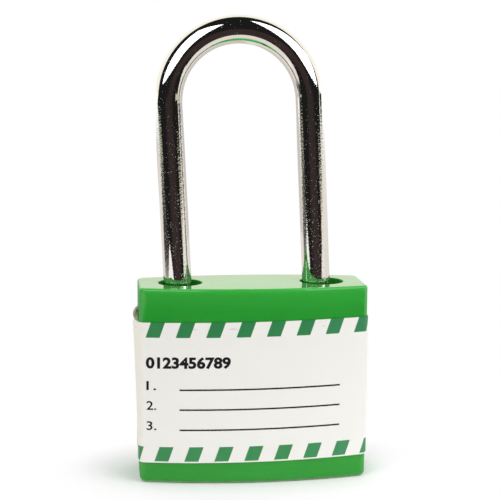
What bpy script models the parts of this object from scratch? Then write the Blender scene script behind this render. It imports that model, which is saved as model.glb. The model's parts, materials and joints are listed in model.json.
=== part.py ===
"""Safety padlock: a plastic jacket over a metal lock body, a tall shackle and a pin tumbler cylinder.

Metres, +Z up, the key side down. The front face looks along -Y and the origin is the middle of the base.
"""

import math

import bmesh
import bpy
import numpy as np

for old_object in list(bpy.data.objects):
    bpy.data.objects.remove(old_object, do_unlink=True)

# Jacket: a sleeve with two bowed faces and flat ends, closed on top
BODY_WIDTH = 0.0489
END_DEPTH = 0.0139
FACE_BULGE = 0.0029
BODY_HEIGHT = 0.0421
CORNER_RADIUS = 0.0015
LEAST_CORNER = 0.0004
JACKET_WALL = 0.0016
JACKET_TOP = 0.0018
TOP_ROUND = 0.0006
BOTTOM_ROUND = 0.0011
HOLE_LOOSENESS = 0.00165
HOLE_TO_END = 0.00905
BASE_THICKNESS = 0.0020
BASE_CHAMFER = 0.0003

# Clearances
SEAT_GAP = 0.0003
RUNNING_GAP = 0.00015
STOP_GAP = 0.0004
CUT_MARGIN = 0.0010

# Label: a vinyl wrap whose ends stop short of each other on the left end
LABEL_BOTTOM = 0.0046
LABEL_TOP_MARGIN = 0.0068
LABEL_THICKNESS = 0.00015
LABEL_GAP = 0.00010
LABEL_SEAM = 0.0068
LABEL_TILT = math.radians(0.66)
FLAP_LIFT_TOP = 0.0010
FLAP_LIFT_BOTTOM = 0.0001

# Rivet through the left end of the jacket
RIVET_DROP = 0.0067
RIVET_HEAD_DIAMETER = 0.0035
RIVET_HEAD_RISE = 0.0010
RIVET_SHANK_DIAMETER = 0.0020
RIVET_GRIP = 0.0020

# Shackle: it leans to the left in its loose holes
SHACKLE_DIAMETER = 0.0060
SHACKLE_PLAY = 0.0007
SHACKLE_RISE = 0.0540
SHACKLE_LEAN = math.radians(2.84)
SHACKLE_OFFSET = -0.00088
SHACKLE_END_CHAMFER = 0.0006
NOTCH_DEPTH = 0.0025
GROOVE_DEPTH = 0.0015
TOE_TIP = 0.0016
HEEL_FOOT = 0.0025
LIFT_CLEARANCE = 0.0008

# Lock body and the bolts across it
LOCK_CHAMFER = 0.0004
BOLT_DEPTH = 0.0043
BOLT_DIAMETER = 0.0040
BOLT_THROW = 0.0026
BOLT_SET_BACK = 0.0010
BOLT_TIP_DIAMETER = 0.0010
BOLT_NOSE_CHAMFER = 0.0004
CROSS_PIN_DIAMETER = 0.0020
CROSS_PIN_INSET = 0.0006
SHACKLE_PIN_DROP = 0.0123
CYLINDER_PIN_HEIGHT = 0.0150
SPRING_FLOOR = 0.0030
SHACKLE_SPRING_DIAMETER = 0.0054
SHACKLE_SPRING_WIRE = 0.0006
SHACKLE_SPRING_TURNS = 5

# Cylinder
PLUG_DIAMETER = 0.0080
PLUG_FACE_RECESS = 0.0004
PLUG_FLANGE_RIM = 0.0007
SHELL_WALL = 0.00185
PIN_COUNT = 5
PIN_PITCH = 0.0036
PIN_END_MARGIN = 0.0034
PIN_DIAMETER = 0.0024
DRIVER_LENGTH = 0.0025
PIN_SPRING_LENGTH = 0.0034
PIN_SPRING_DIAMETER = 0.0021
PIN_SPRING_WIRE = 0.0003
PIN_SPRING_TURNS = 4
RIB_WALL = 0.0009
COVER_THICKNESS = 0.0005
KEYWAY_WIDTH = 0.0013
KEYWAY_REACH = 0.0033
KEY_PIN_SHORTEST = 0.0014
KEY_PIN_STEP = 0.0003
CLIP_GROOVE_DEPTH = 0.0008
CLIP_THICKNESS = 0.0006
CLIP_RIM = 0.0010
CLIP_MOUTH = 0.0052
TAIL_DIAMETER = 0.0040
TANG_WIDTH = 0.0024
CAM_THICKNESS = 0.0032
CAM_LOW_RADIUS = 0.0024
CAM_TIP_GAP = 0.0005
CAM_FALL = math.radians(60.0)
SCREW_DIAMETER = 0.0012
SCREW_HEAD_DIAMETER = 0.0030
SCREW_HEAD_HEIGHT = 0.0007
SCREW_LENGTH = 0.0024

# Steps along curves
ROUND_SIDES = 32
SMALL_SIDES = 20
FACE_STEPS = 10
CORNER_STEPS = 4
EDGE_STEPS = 4
ARCH_STEPS = 28
SPRING_SIDES = 6
SPRING_STEPS = 12

# Levels and radii that follow from the sizes above
LABEL_TOP = BODY_HEIGHT - LABEL_TOP_MARGIN
RIVET_HEIGHT = BODY_HEIGHT - RIVET_DROP
SHACKLE_HOLE_RADIUS = SHACKLE_DIAMETER / 2 + HOLE_LOOSENESS
SHACKLE_HOLE_SPACING = BODY_WIDTH - 2 * HOLE_TO_END
SHACKLE_SPACING = SHACKLE_HOLE_SPACING - SHACKLE_PLAY
LOCK_INSET = JACKET_WALL + SEAT_GAP
LOCK_BOTTOM = BASE_THICKNESS + SEAT_GAP
LOCK_TOP = BODY_HEIGHT - JACKET_TOP - SEAT_GAP
BOLT_HEIGHT = LOCK_TOP - BOLT_DEPTH
SHACKLE_RADIUS = SHACKLE_DIAMETER / 2
LEG_OFFSET = SHACKLE_SPACING / 2
ARCH_LEVEL = SHACKLE_RISE - LEG_OFFSET
LEAN_RISE = LEG_OFFSET * math.sin(SHACKLE_LEAN)
NOTCH_LEVEL = BOLT_HEIGHT - BODY_HEIGHT
NOTCH_HALF = BOLT_DIAMETER / 2 + STOP_GAP + LEAN_RISE
TOE_END = NOTCH_LEVEL - NOTCH_HALF - TOE_TIP
TOE_LOW = LEAN_RISE + TOE_END * math.cos(SHACKLE_LEAN) - SHACKLE_RADIUS * math.sin(SHACKLE_LEAN)
SHACKLE_LIFT = (LIFT_CLEARANCE - TOE_LOW) / math.cos(SHACKLE_LEAN)
NECK_RADIUS = SHACKLE_RADIUS - GROOVE_DEPTH
CROSS_PIN_RADIUS = CROSS_PIN_DIAMETER / 2


def leg_axis(side, height):
    """World x of a leg's leaning axis at a height: side -1 is the heel leg, +1 the toe leg."""
    start_x = SHACKLE_OFFSET + side * LEG_OFFSET * math.cos(SHACKLE_LEAN)
    start_z = BODY_HEIGHT + side * LEAN_RISE
    return start_x - (height - start_z) * math.tan(SHACKLE_LEAN)


def shackle_level(x, height):
    """Height of a world point along the leaning shackle, counted from the top of the body."""
    across = (x - SHACKLE_OFFSET) * math.sin(SHACKLE_LEAN)
    return (height - BODY_HEIGHT) * math.cos(SHACKLE_LEAN) - across


SHACKLE_PIN_HEIGHT = LOCK_TOP - SHACKLE_PIN_DROP
SHACKLE_PIN_X = leg_axis(-1, SHACKLE_PIN_HEIGHT) + NECK_RADIUS + STOP_GAP + CROSS_PIN_RADIUS
GROOVE_TOP = shackle_level(SHACKLE_PIN_X, SHACKLE_PIN_HEIGHT) + CROSS_PIN_RADIUS + STOP_GAP
GROOVE_BOTTOM = GROOVE_TOP - SHACKLE_LIFT - CROSS_PIN_DIAMETER - 2 * STOP_GAP
HEEL_END = GROOVE_BOTTOM - HEEL_FOOT
HEEL_DIP = SHACKLE_RADIUS * math.sin(SHACKLE_LEAN)
HEEL_LOW = BODY_HEIGHT - LEAN_RISE + HEEL_END * math.cos(SHACKLE_LEAN) - HEEL_DIP
TOE_BORE_FLOOR = BODY_HEIGHT + TOE_LOW - 2 * STOP_GAP
HEEL_BORE_FLOOR = LOCK_BOTTOM + SPRING_FLOOR
HEEL_BORE_X = (leg_axis(-1, HEEL_LOW) + leg_axis(-1, BODY_HEIGHT)) / 2
HEEL_BORE_RADIUS = SHACKLE_RADIUS + STOP_GAP + abs(leg_axis(-1, HEEL_LOW) - HEEL_BORE_X)
TOE_BORE_X = (leg_axis(1, TOE_BORE_FLOOR) + leg_axis(1, BODY_HEIGHT)) / 2
TOE_BORE_RADIUS = SHACKLE_RADIUS + STOP_GAP + abs(leg_axis(1, TOE_BORE_FLOOR) - TOE_BORE_X)

PLUG_RADIUS = PLUG_DIAMETER / 2
SHELL_BORE_RADIUS = PLUG_RADIUS + RUNNING_GAP
SHELL_RADIUS = SHELL_BORE_RADIUS + SHELL_WALL
SHELL_BOTTOM = LOCK_BOTTOM + SEAT_GAP
SHELL_TOP = SHELL_BOTTOM + 2 * PIN_END_MARGIN + (PIN_COUNT - 1) * PIN_PITCH
PIN_RADIUS = PIN_DIAMETER / 2
PIN_BORE_RADIUS = PIN_RADIUS + RUNNING_GAP
DRIVER_FOOT = SHELL_BORE_RADIUS + RUNNING_GAP
SPRING_FOOT = DRIVER_FOOT + DRIVER_LENGTH + RUNNING_GAP
RIB_END = SPRING_FOOT + PIN_SPRING_LENGTH + RUNNING_GAP
RIB_HALF = PIN_BORE_RADIUS + RIB_WALL
PLUG_TOP = SHELL_TOP + RUNNING_GAP
CLIP_BOTTOM = PLUG_TOP + RUNNING_GAP
CLIP_TOP = CLIP_BOTTOM + CLIP_THICKNESS
CLIP_INNER = PLUG_RADIUS - CLIP_GROOVE_DEPTH + RUNNING_GAP
CLIP_OUTER = SHELL_BORE_RADIUS + CLIP_RIM
CAM_HIGH_RADIUS = CAM_LOW_RADIUS + BOLT_THROW
CHAMBER_RADIUS = CAM_HIGH_RADIUS + STOP_GAP
CAM_BOTTOM = BOLT_HEIGHT - CAM_THICKNESS / 2
CAM_TOP = BOLT_HEIGHT + CAM_THICKNESS / 2
SCREW_HEAD_BOTTOM = CAM_TOP + RUNNING_GAP
CHAMBER_TOP = SCREW_HEAD_BOTTOM + SCREW_HEAD_HEIGHT + SEAT_GAP
FLANGE_RADIUS = PLUG_RADIUS + PLUG_FLANGE_RIM
KEY_OPENING_RADIUS = FLANGE_RADIUS + STOP_GAP
CYLINDER_PIN_X = -(SHELL_RADIUS + STOP_GAP)


def finish(name, colour, roughness, metallic):
    """A plain surface with its own colour."""
    surface = bpy.data.materials.new(name)
    surface.use_nodes = True
    shader = surface.node_tree.nodes["Principled BSDF"]
    shader.inputs["Base Color"].default_value = (*colour, 1.0)
    shader.inputs["Roughness"].default_value = roughness
    shader.inputs["Metallic"].default_value = metallic
    return surface


def place(item, location=(0, 0, 0), turn=(0, 0, 0), parent=None):
    """Sets an object down, or hangs it on an empty."""
    item.location = location
    item.rotation_euler = turn
    item.parent = parent
    return item


def add_object(name, shape, surface):
    """Turns a finished bmesh into a named, smooth object."""
    bmesh.ops.recalc_face_normals(shape, faces=shape.faces)
    mesh = bpy.data.meshes.new(name)
    shape.to_mesh(mesh)
    shape.free()
    mesh.shade_smooth()
    mesh.set_sharp_from_angle(angle=math.radians(35))
    item = bpy.data.objects.new(name, mesh)
    bpy.context.scene.collection.objects.link(item)
    if surface is not None:
        item.data.materials.append(surface)
    return item


def stack(name, rings, surface=None, joined=False):
    """Skins rings of matching points: capped at both ends, or joined from the last ring to the first."""
    shape = bmesh.new()
    loops = [[shape.verts.new(point) for point in points] for points in rings]
    nexts = loops[1:] + loops[:1] if joined else loops[1:]
    for low, high in zip(loops, nexts):
        for first in range(len(low)):
            second = (first + 1) % len(low)
            shape.faces.new((low[first], low[second], high[second], high[first]))
    if not joined:
        shape.faces.new(loops[0])
        shape.faces.new(loops[-1])
    return add_object(name, shape, surface)


def circle(radius, height, sides=ROUND_SIDES):
    """A level ring round the local Z axis."""
    angles = np.linspace(0, 2 * np.pi, sides, endpoint=False)
    return np.stack([radius * np.cos(angles), radius * np.sin(angles), np.full(sides, height)], axis=1)


def square(width, height, sides=ROUND_SIDES):
    """A level square with as many points as a circle, so that both can be skinned together."""
    round_points = circle(1.0, 0.0, sides)
    reach = np.abs(round_points[:, :2]).max(axis=1)
    points = round_points * (width / 2) / reach[:, None]
    points[:, 2] = height
    return points


def turned(name, profile, surface=None, sides=ROUND_SIDES, joined=False):
    """A turned piece from (radius, height) pairs."""
    return stack(name, [circle(radius, height, sides) for radius, height in profile], surface, joined)


def box(name, low, high, surface=None):
    """A block between two corners."""
    (x0, y0, z0), (x1, y1, z1) = low, high
    outline = [(x0, y0), (x1, y0), (x1, y1), (x0, y1)]
    return stack(name, [[(x, y, z) for x, y in outline] for z in (z0, z1)], surface)


def combine(item, tool, operation="DIFFERENCE"):
    """Cuts a tool out of an object, or joins it on."""
    tool.hide_render = True
    tool.display_type = "WIRE"
    change = item.modifiers.new(tool.name, "BOOLEAN")
    change.operation = operation
    change.solver = "EXACT"
    change.object = tool


def section(inset, height):
    """The plan outline at an inset, counter-clockwise from the left end's front half to its back half."""
    corner = max(CORNER_RADIUS - inset, LEAST_CORNER)
    face_radius = ((BODY_WIDTH / 2) ** 2 + FACE_BULGE ** 2) / (2 * FACE_BULGE)
    centre_y = face_radius - FACE_BULGE - END_DEPTH / 2
    end_x = BODY_WIDTH / 2 - inset
    corner_x = end_x - corner
    corner_y = centre_y - math.sqrt((face_radius - inset - corner) ** 2 - corner_x ** 2)
    meet = math.atan2(corner_y - centre_y, corner_x)
    face = np.linspace(-math.pi / 2, meet, FACE_STEPS + 1)
    bend = np.linspace(meet, 0, CORNER_STEPS + 1)[1:]
    face_x = (face_radius - inset) * np.cos(face)
    face_y = centre_y + (face_radius - inset) * np.sin(face)
    quarter_x = np.concatenate([face_x, corner_x + corner * np.cos(bend), [end_x]])
    quarter_y = np.concatenate([face_y, corner_y + corner * np.sin(bend), [-LABEL_SEAM / 2]])
    front_x = np.concatenate([-quarter_x[::-1], quarter_x[1:]])
    front_y = np.concatenate([quarter_y[::-1], quarter_y[1:]])
    xs = np.concatenate([front_x, front_x[::-1]])
    ys = np.concatenate([front_y, -front_y[::-1]])
    return np.stack([xs, ys, np.full(len(xs), height)], axis=1)


def make_jacket():
    """The sleeve: outer skin from the top edge down, round the lower rim and up inside to the ceiling."""
    surface = finish("jacket_green", (0.030, 0.300, 0.045), 0.28, 0.0)
    turns = np.linspace(0, math.pi / 2, EDGE_STEPS + 1)
    profile = [(TOP_ROUND * (1 - math.sin(a)), BODY_HEIGHT - TOP_ROUND * (1 - math.cos(a))) for a in turns]
    profile += [(BOTTOM_ROUND * (1 - math.cos(a)), BOTTOM_ROUND * (1 - math.sin(a))) for a in turns]
    profile += [(JACKET_WALL, 0.0), (JACKET_WALL, BODY_HEIGHT - JACKET_TOP)]
    jacket = stack("jacket", [section(inset, height) for inset, height in profile], surface)
    for side in (-1, 1):
        hole = turned(
            f"cut_jacket_hole_{side}",
            [(SHACKLE_HOLE_RADIUS, -JACKET_TOP - CUT_MARGIN), (SHACKLE_HOLE_RADIUS, CUT_MARGIN)],
        )
        combine(jacket, place(hole, (side * SHACKLE_HOLE_SPACING / 2, 0, BODY_HEIGHT)))
    shank_hole = RIVET_SHANK_DIAMETER / 2 + SEAT_GAP
    rivet_hole = turned(
        "cut_jacket_rivet",
        [(shank_hole, -CUT_MARGIN), (shank_hole, JACKET_WALL + CUT_MARGIN)],
        sides=SMALL_SIDES,
    )
    combine(jacket, place(rivet_hole, (-BODY_WIDTH / 2, 0, RIVET_HEIGHT), (0, math.pi / 2, 0)))


def make_base():
    """The plate that closes the sleeve, open round the key side of the cylinder."""
    surface = finish("base_green", (0.028, 0.270, 0.042), 0.40, 0.0)
    inset = JACKET_WALL + SEAT_GAP
    levels = [(inset + BASE_CHAMFER, 0.0), (inset, BASE_CHAMFER), (inset, BASE_THICKNESS)]
    base = stack("jacket_base", [section(side, height) for side, height in levels], surface)
    opening = turned(
        "cut_key_opening",
        [(KEY_OPENING_RADIUS, -CUT_MARGIN), (KEY_OPENING_RADIUS, BASE_THICKNESS + CUT_MARGIN)],
    )
    combine(base, opening)


def make_label():
    """A thin band round the body, slightly askew, with its front end lifting off the left end wall."""
    surface = finish("label_white", (0.86, 0.85, 0.80), 0.45, 0.0)
    inner = section(-LABEL_GAP, 0.0)
    outer = section(-LABEL_GAP - LABEL_THICKNESS, 0.0)
    strips = []
    for low, high in zip(inner, outer):
        tilt = low[0] * math.tan(LABEL_TILT)
        strips.append(
            [
                (low[0], low[1], LABEL_BOTTOM + tilt),
                (high[0], high[1], LABEL_BOTTOM + tilt),
                (high[0], high[1], LABEL_TOP + tilt),
                (low[0], low[1], LABEL_TOP + tilt),
            ]
        )
    lifts = (FLAP_LIFT_BOTTOM, FLAP_LIFT_BOTTOM, FLAP_LIFT_TOP, FLAP_LIFT_TOP)
    strips[0] = [(x - lift, y, z) for (x, y, z), lift in zip(strips[0], lifts)]
    stack("label", strips, surface)


def make_rivet():
    """Domed head outside the left end, shank through the wall into the lock body."""
    surface = finish("rivet_steel", (0.35, 0.34, 0.30), 0.30, 1.0)
    head = RIVET_HEAD_DIAMETER / 2
    dome = (head ** 2 + RIVET_HEAD_RISE ** 2) / (2 * RIVET_HEAD_RISE)
    spread = math.asin(head / dome)
    profile = []
    for share in np.linspace(0.12, 1.0, EDGE_STEPS + 2):
        angle = spread * share
        fall = dome - dome * math.cos(angle)
        profile.append((dome * math.sin(angle), fall - RIVET_HEAD_RISE - RUNNING_GAP))
    shank = RIVET_SHANK_DIAMETER / 2
    profile += [(shank, -RUNNING_GAP), (shank, LOCK_INSET + RIVET_GRIP)]
    rivet = turned("jacket_rivet", profile, surface, SMALL_SIDES)
    place(rivet, (-BODY_WIDTH / 2, 0, RIVET_HEIGHT), (0, math.pi / 2, 0))


def make_lock_body():
    """The metal block, bored for the shackle legs, the cylinder, the cam, the bolts and the pins."""
    surface = finish("lock_body_zinc", (0.55, 0.55, 0.56), 0.45, 1.0)
    levels = [
        (LOCK_INSET + LOCK_CHAMFER, LOCK_BOTTOM),
        (LOCK_INSET, LOCK_BOTTOM + LOCK_CHAMFER),
        (LOCK_INSET, LOCK_TOP - LOCK_CHAMFER),
        (LOCK_INSET + LOCK_CHAMFER, LOCK_TOP),
    ]
    body = stack("lock_body", [section(inset, height) for inset, height in levels], surface)
    over = LOCK_TOP + CUT_MARGIN
    under = LOCK_BOTTOM - CUT_MARGIN
    upright_bores = (
        ("cut_heel_bore", HEEL_BORE_X, HEEL_BORE_RADIUS, HEEL_BORE_FLOOR, over),
        ("cut_toe_bore", TOE_BORE_X, TOE_BORE_RADIUS, TOE_BORE_FLOOR, over),
        ("cut_cylinder_bore", 0.0, SHELL_RADIUS + SEAT_GAP, under, CLIP_TOP + SEAT_GAP),
        ("cut_cam_chamber", 0.0, CHAMBER_RADIUS, under, CHAMBER_TOP),
    )
    for name, x, radius, low, high in upright_bores:
        combine(body, place(turned(name, [(radius, low), (radius, high)]), (x, 0, 0)))
    slot_half = RIB_HALF + SEAT_GAP
    slot_end = RIB_END + SEAT_GAP + COVER_THICKNESS + SEAT_GAP
    combine(body, box("cut_rib_slot", (0, -slot_half, under), (slot_end, slot_half, SHELL_TOP + SEAT_GAP)))
    channel = BOLT_DIAMETER / 2 + RUNNING_GAP
    bolt_bore = turned("cut_bolt_bore", [(channel, HEEL_BORE_X), (channel, TOE_BORE_X)])
    combine(body, place(bolt_bore, (0, 0, BOLT_HEIGHT), (0, math.pi / 2, 0)))
    pin_hole = CROSS_PIN_RADIUS + RUNNING_GAP
    for name, x, height in cross_pins():
        hole = turned(f"cut_{name}", [(pin_hole, -END_DEPTH), (pin_hole, END_DEPTH)], sides=SMALL_SIDES)
        combine(body, place(hole, (x, 0, height), (math.pi / 2, 0, 0)))
    shank = RIVET_SHANK_DIAMETER / 2 + RUNNING_GAP
    rivet_end = LOCK_INSET + RIVET_GRIP + SEAT_GAP
    rivet_hole = turned("cut_lock_rivet", [(shank, 0.0), (shank, rivet_end)], sides=SMALL_SIDES)
    combine(body, place(rivet_hole, (-BODY_WIDTH / 2, 0, RIVET_HEIGHT), (0, math.pi / 2, 0)))


def cross_pins():
    """Name, x and height of the two pins that run from the front to the back of the lock body."""
    return (
        ("shackle_retaining_pin", SHACKLE_PIN_X, SHACKLE_PIN_HEIGHT),
        ("cylinder_retaining_pin", CYLINDER_PIN_X, CYLINDER_PIN_HEIGHT),
    )


def make_cross_pins():
    """One pin keeps the shackle's heel in its groove, the other keeps the cylinder in its bore."""
    for name, x, height in cross_pins():
        surface = finish(f"{name}_steel", (0.60, 0.60, 0.60), 0.30, 1.0)
        half_depth = END_DEPTH / 2 + FACE_BULGE * (1 - (2 * x / BODY_WIDTH) ** 2)
        reach = half_depth - LOCK_INSET - CROSS_PIN_INSET
        pin = turned(name, [(CROSS_PIN_RADIUS, -reach), (CROSS_PIN_RADIUS, reach)], surface, SMALL_SIDES)
        place(pin, (x, 0, height), (math.pi / 2, 0, 0))


def make_shackle():
    """A bent round bar: grooved heel leg on the left, arch, toe leg, and a bolt notch inside each leg."""
    surface = finish("shackle_chrome", (0.80, 0.80, 0.80), 0.10, 1.0)
    frame = bpy.data.objects.new("shackle_frame", None)
    bpy.context.scene.collection.objects.link(frame)
    place(frame, (SHACKLE_OFFSET, 0, BODY_HEIGHT), (0, -SHACKLE_LEAN, 0))
    tip = SHACKLE_RADIUS - SHACKLE_END_CHAMFER
    heel = [
        (tip, HEEL_END),
        (SHACKLE_RADIUS, HEEL_END + SHACKLE_END_CHAMFER),
        (SHACKLE_RADIUS, GROOVE_BOTTOM),
        (NECK_RADIUS, GROOVE_BOTTOM),
        (NECK_RADIUS, GROOVE_TOP),
        (SHACKLE_RADIUS, GROOVE_TOP),
    ]
    toe = [(SHACKLE_RADIUS, TOE_END + SHACKLE_END_CHAMFER), (tip, TOE_END)]
    rings = [circle(radius, height, ROUND_SIDES) - (LEG_OFFSET, 0, 0) for radius, height in heel]
    for bend in np.linspace(0, math.pi, ARCH_STEPS + 1):
        across = circle(SHACKLE_RADIUS, 0.0, ROUND_SIDES)
        reach = LEG_OFFSET - across[:, 0]
        rings.append(
            np.stack([-reach * np.cos(bend), across[:, 1], ARCH_LEVEL + reach * np.sin(bend)], axis=1)
        )
    for radius, height in toe:
        ring = circle(radius, height, ROUND_SIDES) * (-1, 1, 1)
        rings.append(ring + (LEG_OFFSET, 0, 0))
    shackle = place(stack("shackle", rings, surface), parent=frame)
    floor = LEG_OFFSET - SHACKLE_RADIUS + NOTCH_DEPTH
    mouth = LEG_OFFSET - SHACKLE_RADIUS - CUT_MARGIN
    for side in (-1, 1):
        low = (min(side * floor, side * mouth), -SHACKLE_DIAMETER, NOTCH_LEVEL - NOTCH_HALF)
        high = (max(side * floor, side * mouth), SHACKLE_DIAMETER, NOTCH_LEVEL + NOTCH_HALF)
        combine(shackle, place(box(f"cut_notch_{side}", low, high), parent=frame))


def make_bolts():
    """A round bolt on each side of the cam, nose towards its shackle leg."""
    nose = leg_axis(1, BOLT_HEIGHT) - SHACKLE_RADIUS - BOLT_SET_BACK / 2
    tail = CAM_LOW_RADIUS + CAM_TIP_GAP
    radius = BOLT_DIAMETER / 2
    tip = BOLT_TIP_DIAMETER / 2
    profile = [
        (tip, tail),
        (radius, tail + radius - tip),
        (radius, nose - BOLT_NOSE_CHAMFER),
        (radius - BOLT_NOSE_CHAMFER, nose),
    ]
    for name, side in (("locking_bolt_left", -1), ("locking_bolt_right", 1)):
        surface = finish(f"{name}_steel", (0.62, 0.61, 0.60), 0.25, 1.0)
        bolt = turned(name, profile, surface, SMALL_SIDES)
        place(bolt, (0, 0, BOLT_HEIGHT), (0, side * math.pi / 2, 0))


def coil_points(radius, turns, low, high):
    """Points along a spring's wire."""
    share = np.linspace(0, 1, turns * SPRING_STEPS + 1)
    angle = 2 * np.pi * turns * share
    return np.stack([radius * np.cos(angle), radius * np.sin(angle), low + (high - low) * share], axis=1)


def least_gap(points, wire):
    """Least clear distance between neighbouring turns, measured on the wire's points."""
    gaps = []
    for index, point in enumerate(points[: -SPRING_STEPS + 2]):
        rest = points[index + SPRING_STEPS - 2:]
        gaps.append(np.linalg.norm(rest - point, axis=1).min())
    return min(gaps) - wire


def spring(name, diameter, wire, turns, length, surface):
    """An open coil spring of one unbroken wire, standing on the local origin."""
    points = coil_points((diameter - wire) / 2, turns, wire / 2, length - wire / 2)
    along = np.gradient(points, axis=0)
    along /= np.linalg.norm(along, axis=1, keepdims=True)
    outward = points * (1, 1, 0)
    outward /= np.linalg.norm(outward, axis=1, keepdims=True)
    across = np.cross(along, outward)
    around = np.linspace(0, 2 * np.pi, SPRING_SIDES, endpoint=False)
    rings = [
        point + wire / 2 * (np.cos(around)[:, None] * out + np.sin(around)[:, None] * side)
        for point, out, side in zip(points, outward, across)
    ]
    print(f"{name}: least gap between turns {least_gap(points, wire) * 1000:.2f} mm")
    return stack(name, rings, surface)


def make_shackle_spring():
    """The coil under the heel leg that lifts the shackle."""
    surface = finish("shackle_spring_steel", (0.55, 0.55, 0.55), 0.30, 1.0)
    foot = HEEL_BORE_FLOOR + SEAT_GAP
    length = HEEL_LOW - SEAT_GAP - foot
    coil = spring(
        "shackle_spring",
        SHACKLE_SPRING_DIAMETER,
        SHACKLE_SPRING_WIRE,
        SHACKLE_SPRING_TURNS,
        length,
        surface,
    )
    place(coil, (leg_axis(-1, HEEL_LOW), 0, foot))


def pin_heights():
    """Heights of the pin stacks along the cylinder."""
    return [SHELL_BOTTOM + PIN_END_MARGIN + index * PIN_PITCH for index in range(PIN_COUNT)]


def make_cylinder_shell():
    """The fixed tube round the plug, with a rib on the right for the driver pins and their springs."""
    surface = finish("cylinder_brass", (0.62, 0.47, 0.20), 0.32, 1.0)
    tube = [
        (SHELL_BORE_RADIUS, SHELL_BOTTOM),
        (SHELL_RADIUS, SHELL_BOTTOM),
        (SHELL_RADIUS, SHELL_TOP),
        (SHELL_BORE_RADIUS, SHELL_TOP),
    ]
    shell = turned("cylinder_shell", tube, surface, joined=True)
    root = (SHELL_RADIUS + SHELL_BORE_RADIUS) / 2
    rib = box("join_rib", (root, -RIB_HALF, SHELL_BOTTOM), (RIB_END, RIB_HALF, SHELL_TOP))
    combine(shell, rib, "UNION")
    for index, height in enumerate(pin_heights()):
        drill = turned(
            f"cut_driver_{index + 1}",
            [(PIN_BORE_RADIUS, PLUG_RADIUS - CUT_MARGIN), (PIN_BORE_RADIUS, RIB_END + CUT_MARGIN)],
            sides=SMALL_SIDES,
        )
        combine(shell, place(drill, (0, 0, height), (0, math.pi / 2, 0)))
    notch_radius = CROSS_PIN_RADIUS + RUNNING_GAP
    notch_profile = [(notch_radius, -SHELL_RADIUS), (notch_radius, SHELL_RADIUS)]
    notch = turned("cut_shell_notch", notch_profile, sides=SMALL_SIDES)
    combine(shell, place(notch, (CYLINDER_PIN_X, 0, CYLINDER_PIN_HEIGHT), (math.pi / 2, 0, 0)))


def make_chamber_cover():
    """The strip that closes the rib's drillings over the springs."""
    surface = finish("cover_brass", (0.66, 0.52, 0.25), 0.35, 1.0)
    low = (RIB_END + RUNNING_GAP, -RIB_HALF, SHELL_BOTTOM)
    high = (RIB_END + RUNNING_GAP + COVER_THICKNESS, RIB_HALF, SHELL_TOP)
    box("chamber_cover", low, high, surface)


def make_pin_stacks():
    """Driver pins and springs in the rib, key pins in the plug, all parted at the plug's rim."""
    for index, height in enumerate(pin_heights()):
        number = index + 1
        steel = finish(f"driver_steel_{number}", (0.60, 0.60, 0.62), 0.28, 1.0)
        driver_profile = [(PIN_RADIUS, DRIVER_FOOT), (PIN_RADIUS, DRIVER_FOOT + DRIVER_LENGTH)]
        driver = turned(f"driver_pin_{number}", driver_profile, steel, SMALL_SIDES)
        place(driver, (0, 0, height), (0, math.pi / 2, 0))
        wire = finish(f"pin_spring_steel_{number}", (0.70, 0.62, 0.45), 0.30, 1.0)
        coil = spring(
            f"pin_spring_{number}",
            PIN_SPRING_DIAMETER,
            PIN_SPRING_WIRE,
            PIN_SPRING_TURNS,
            PIN_SPRING_LENGTH,
            wire,
        )
        place(coil, (SPRING_FOOT, 0, height), (0, math.pi / 2, 0))
        brass = finish(f"key_pin_brass_{number}", (0.70, 0.55, 0.25), 0.30, 1.0)
        length = KEY_PIN_SHORTEST + KEY_PIN_STEP * (index * 2 % PIN_COUNT)
        top = PLUG_RADIUS - RUNNING_GAP
        tip = PIN_RADIUS / 3
        shoulder = top - length
        key_profile = [(tip, shoulder - PIN_RADIUS + tip), (PIN_RADIUS, shoulder), (PIN_RADIUS, top)]
        key_pin = turned(f"key_pin_{number}", key_profile, brass, SMALL_SIDES)
        place(key_pin, (0, 0, height), (-math.pi / 2, 0, 0))


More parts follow.
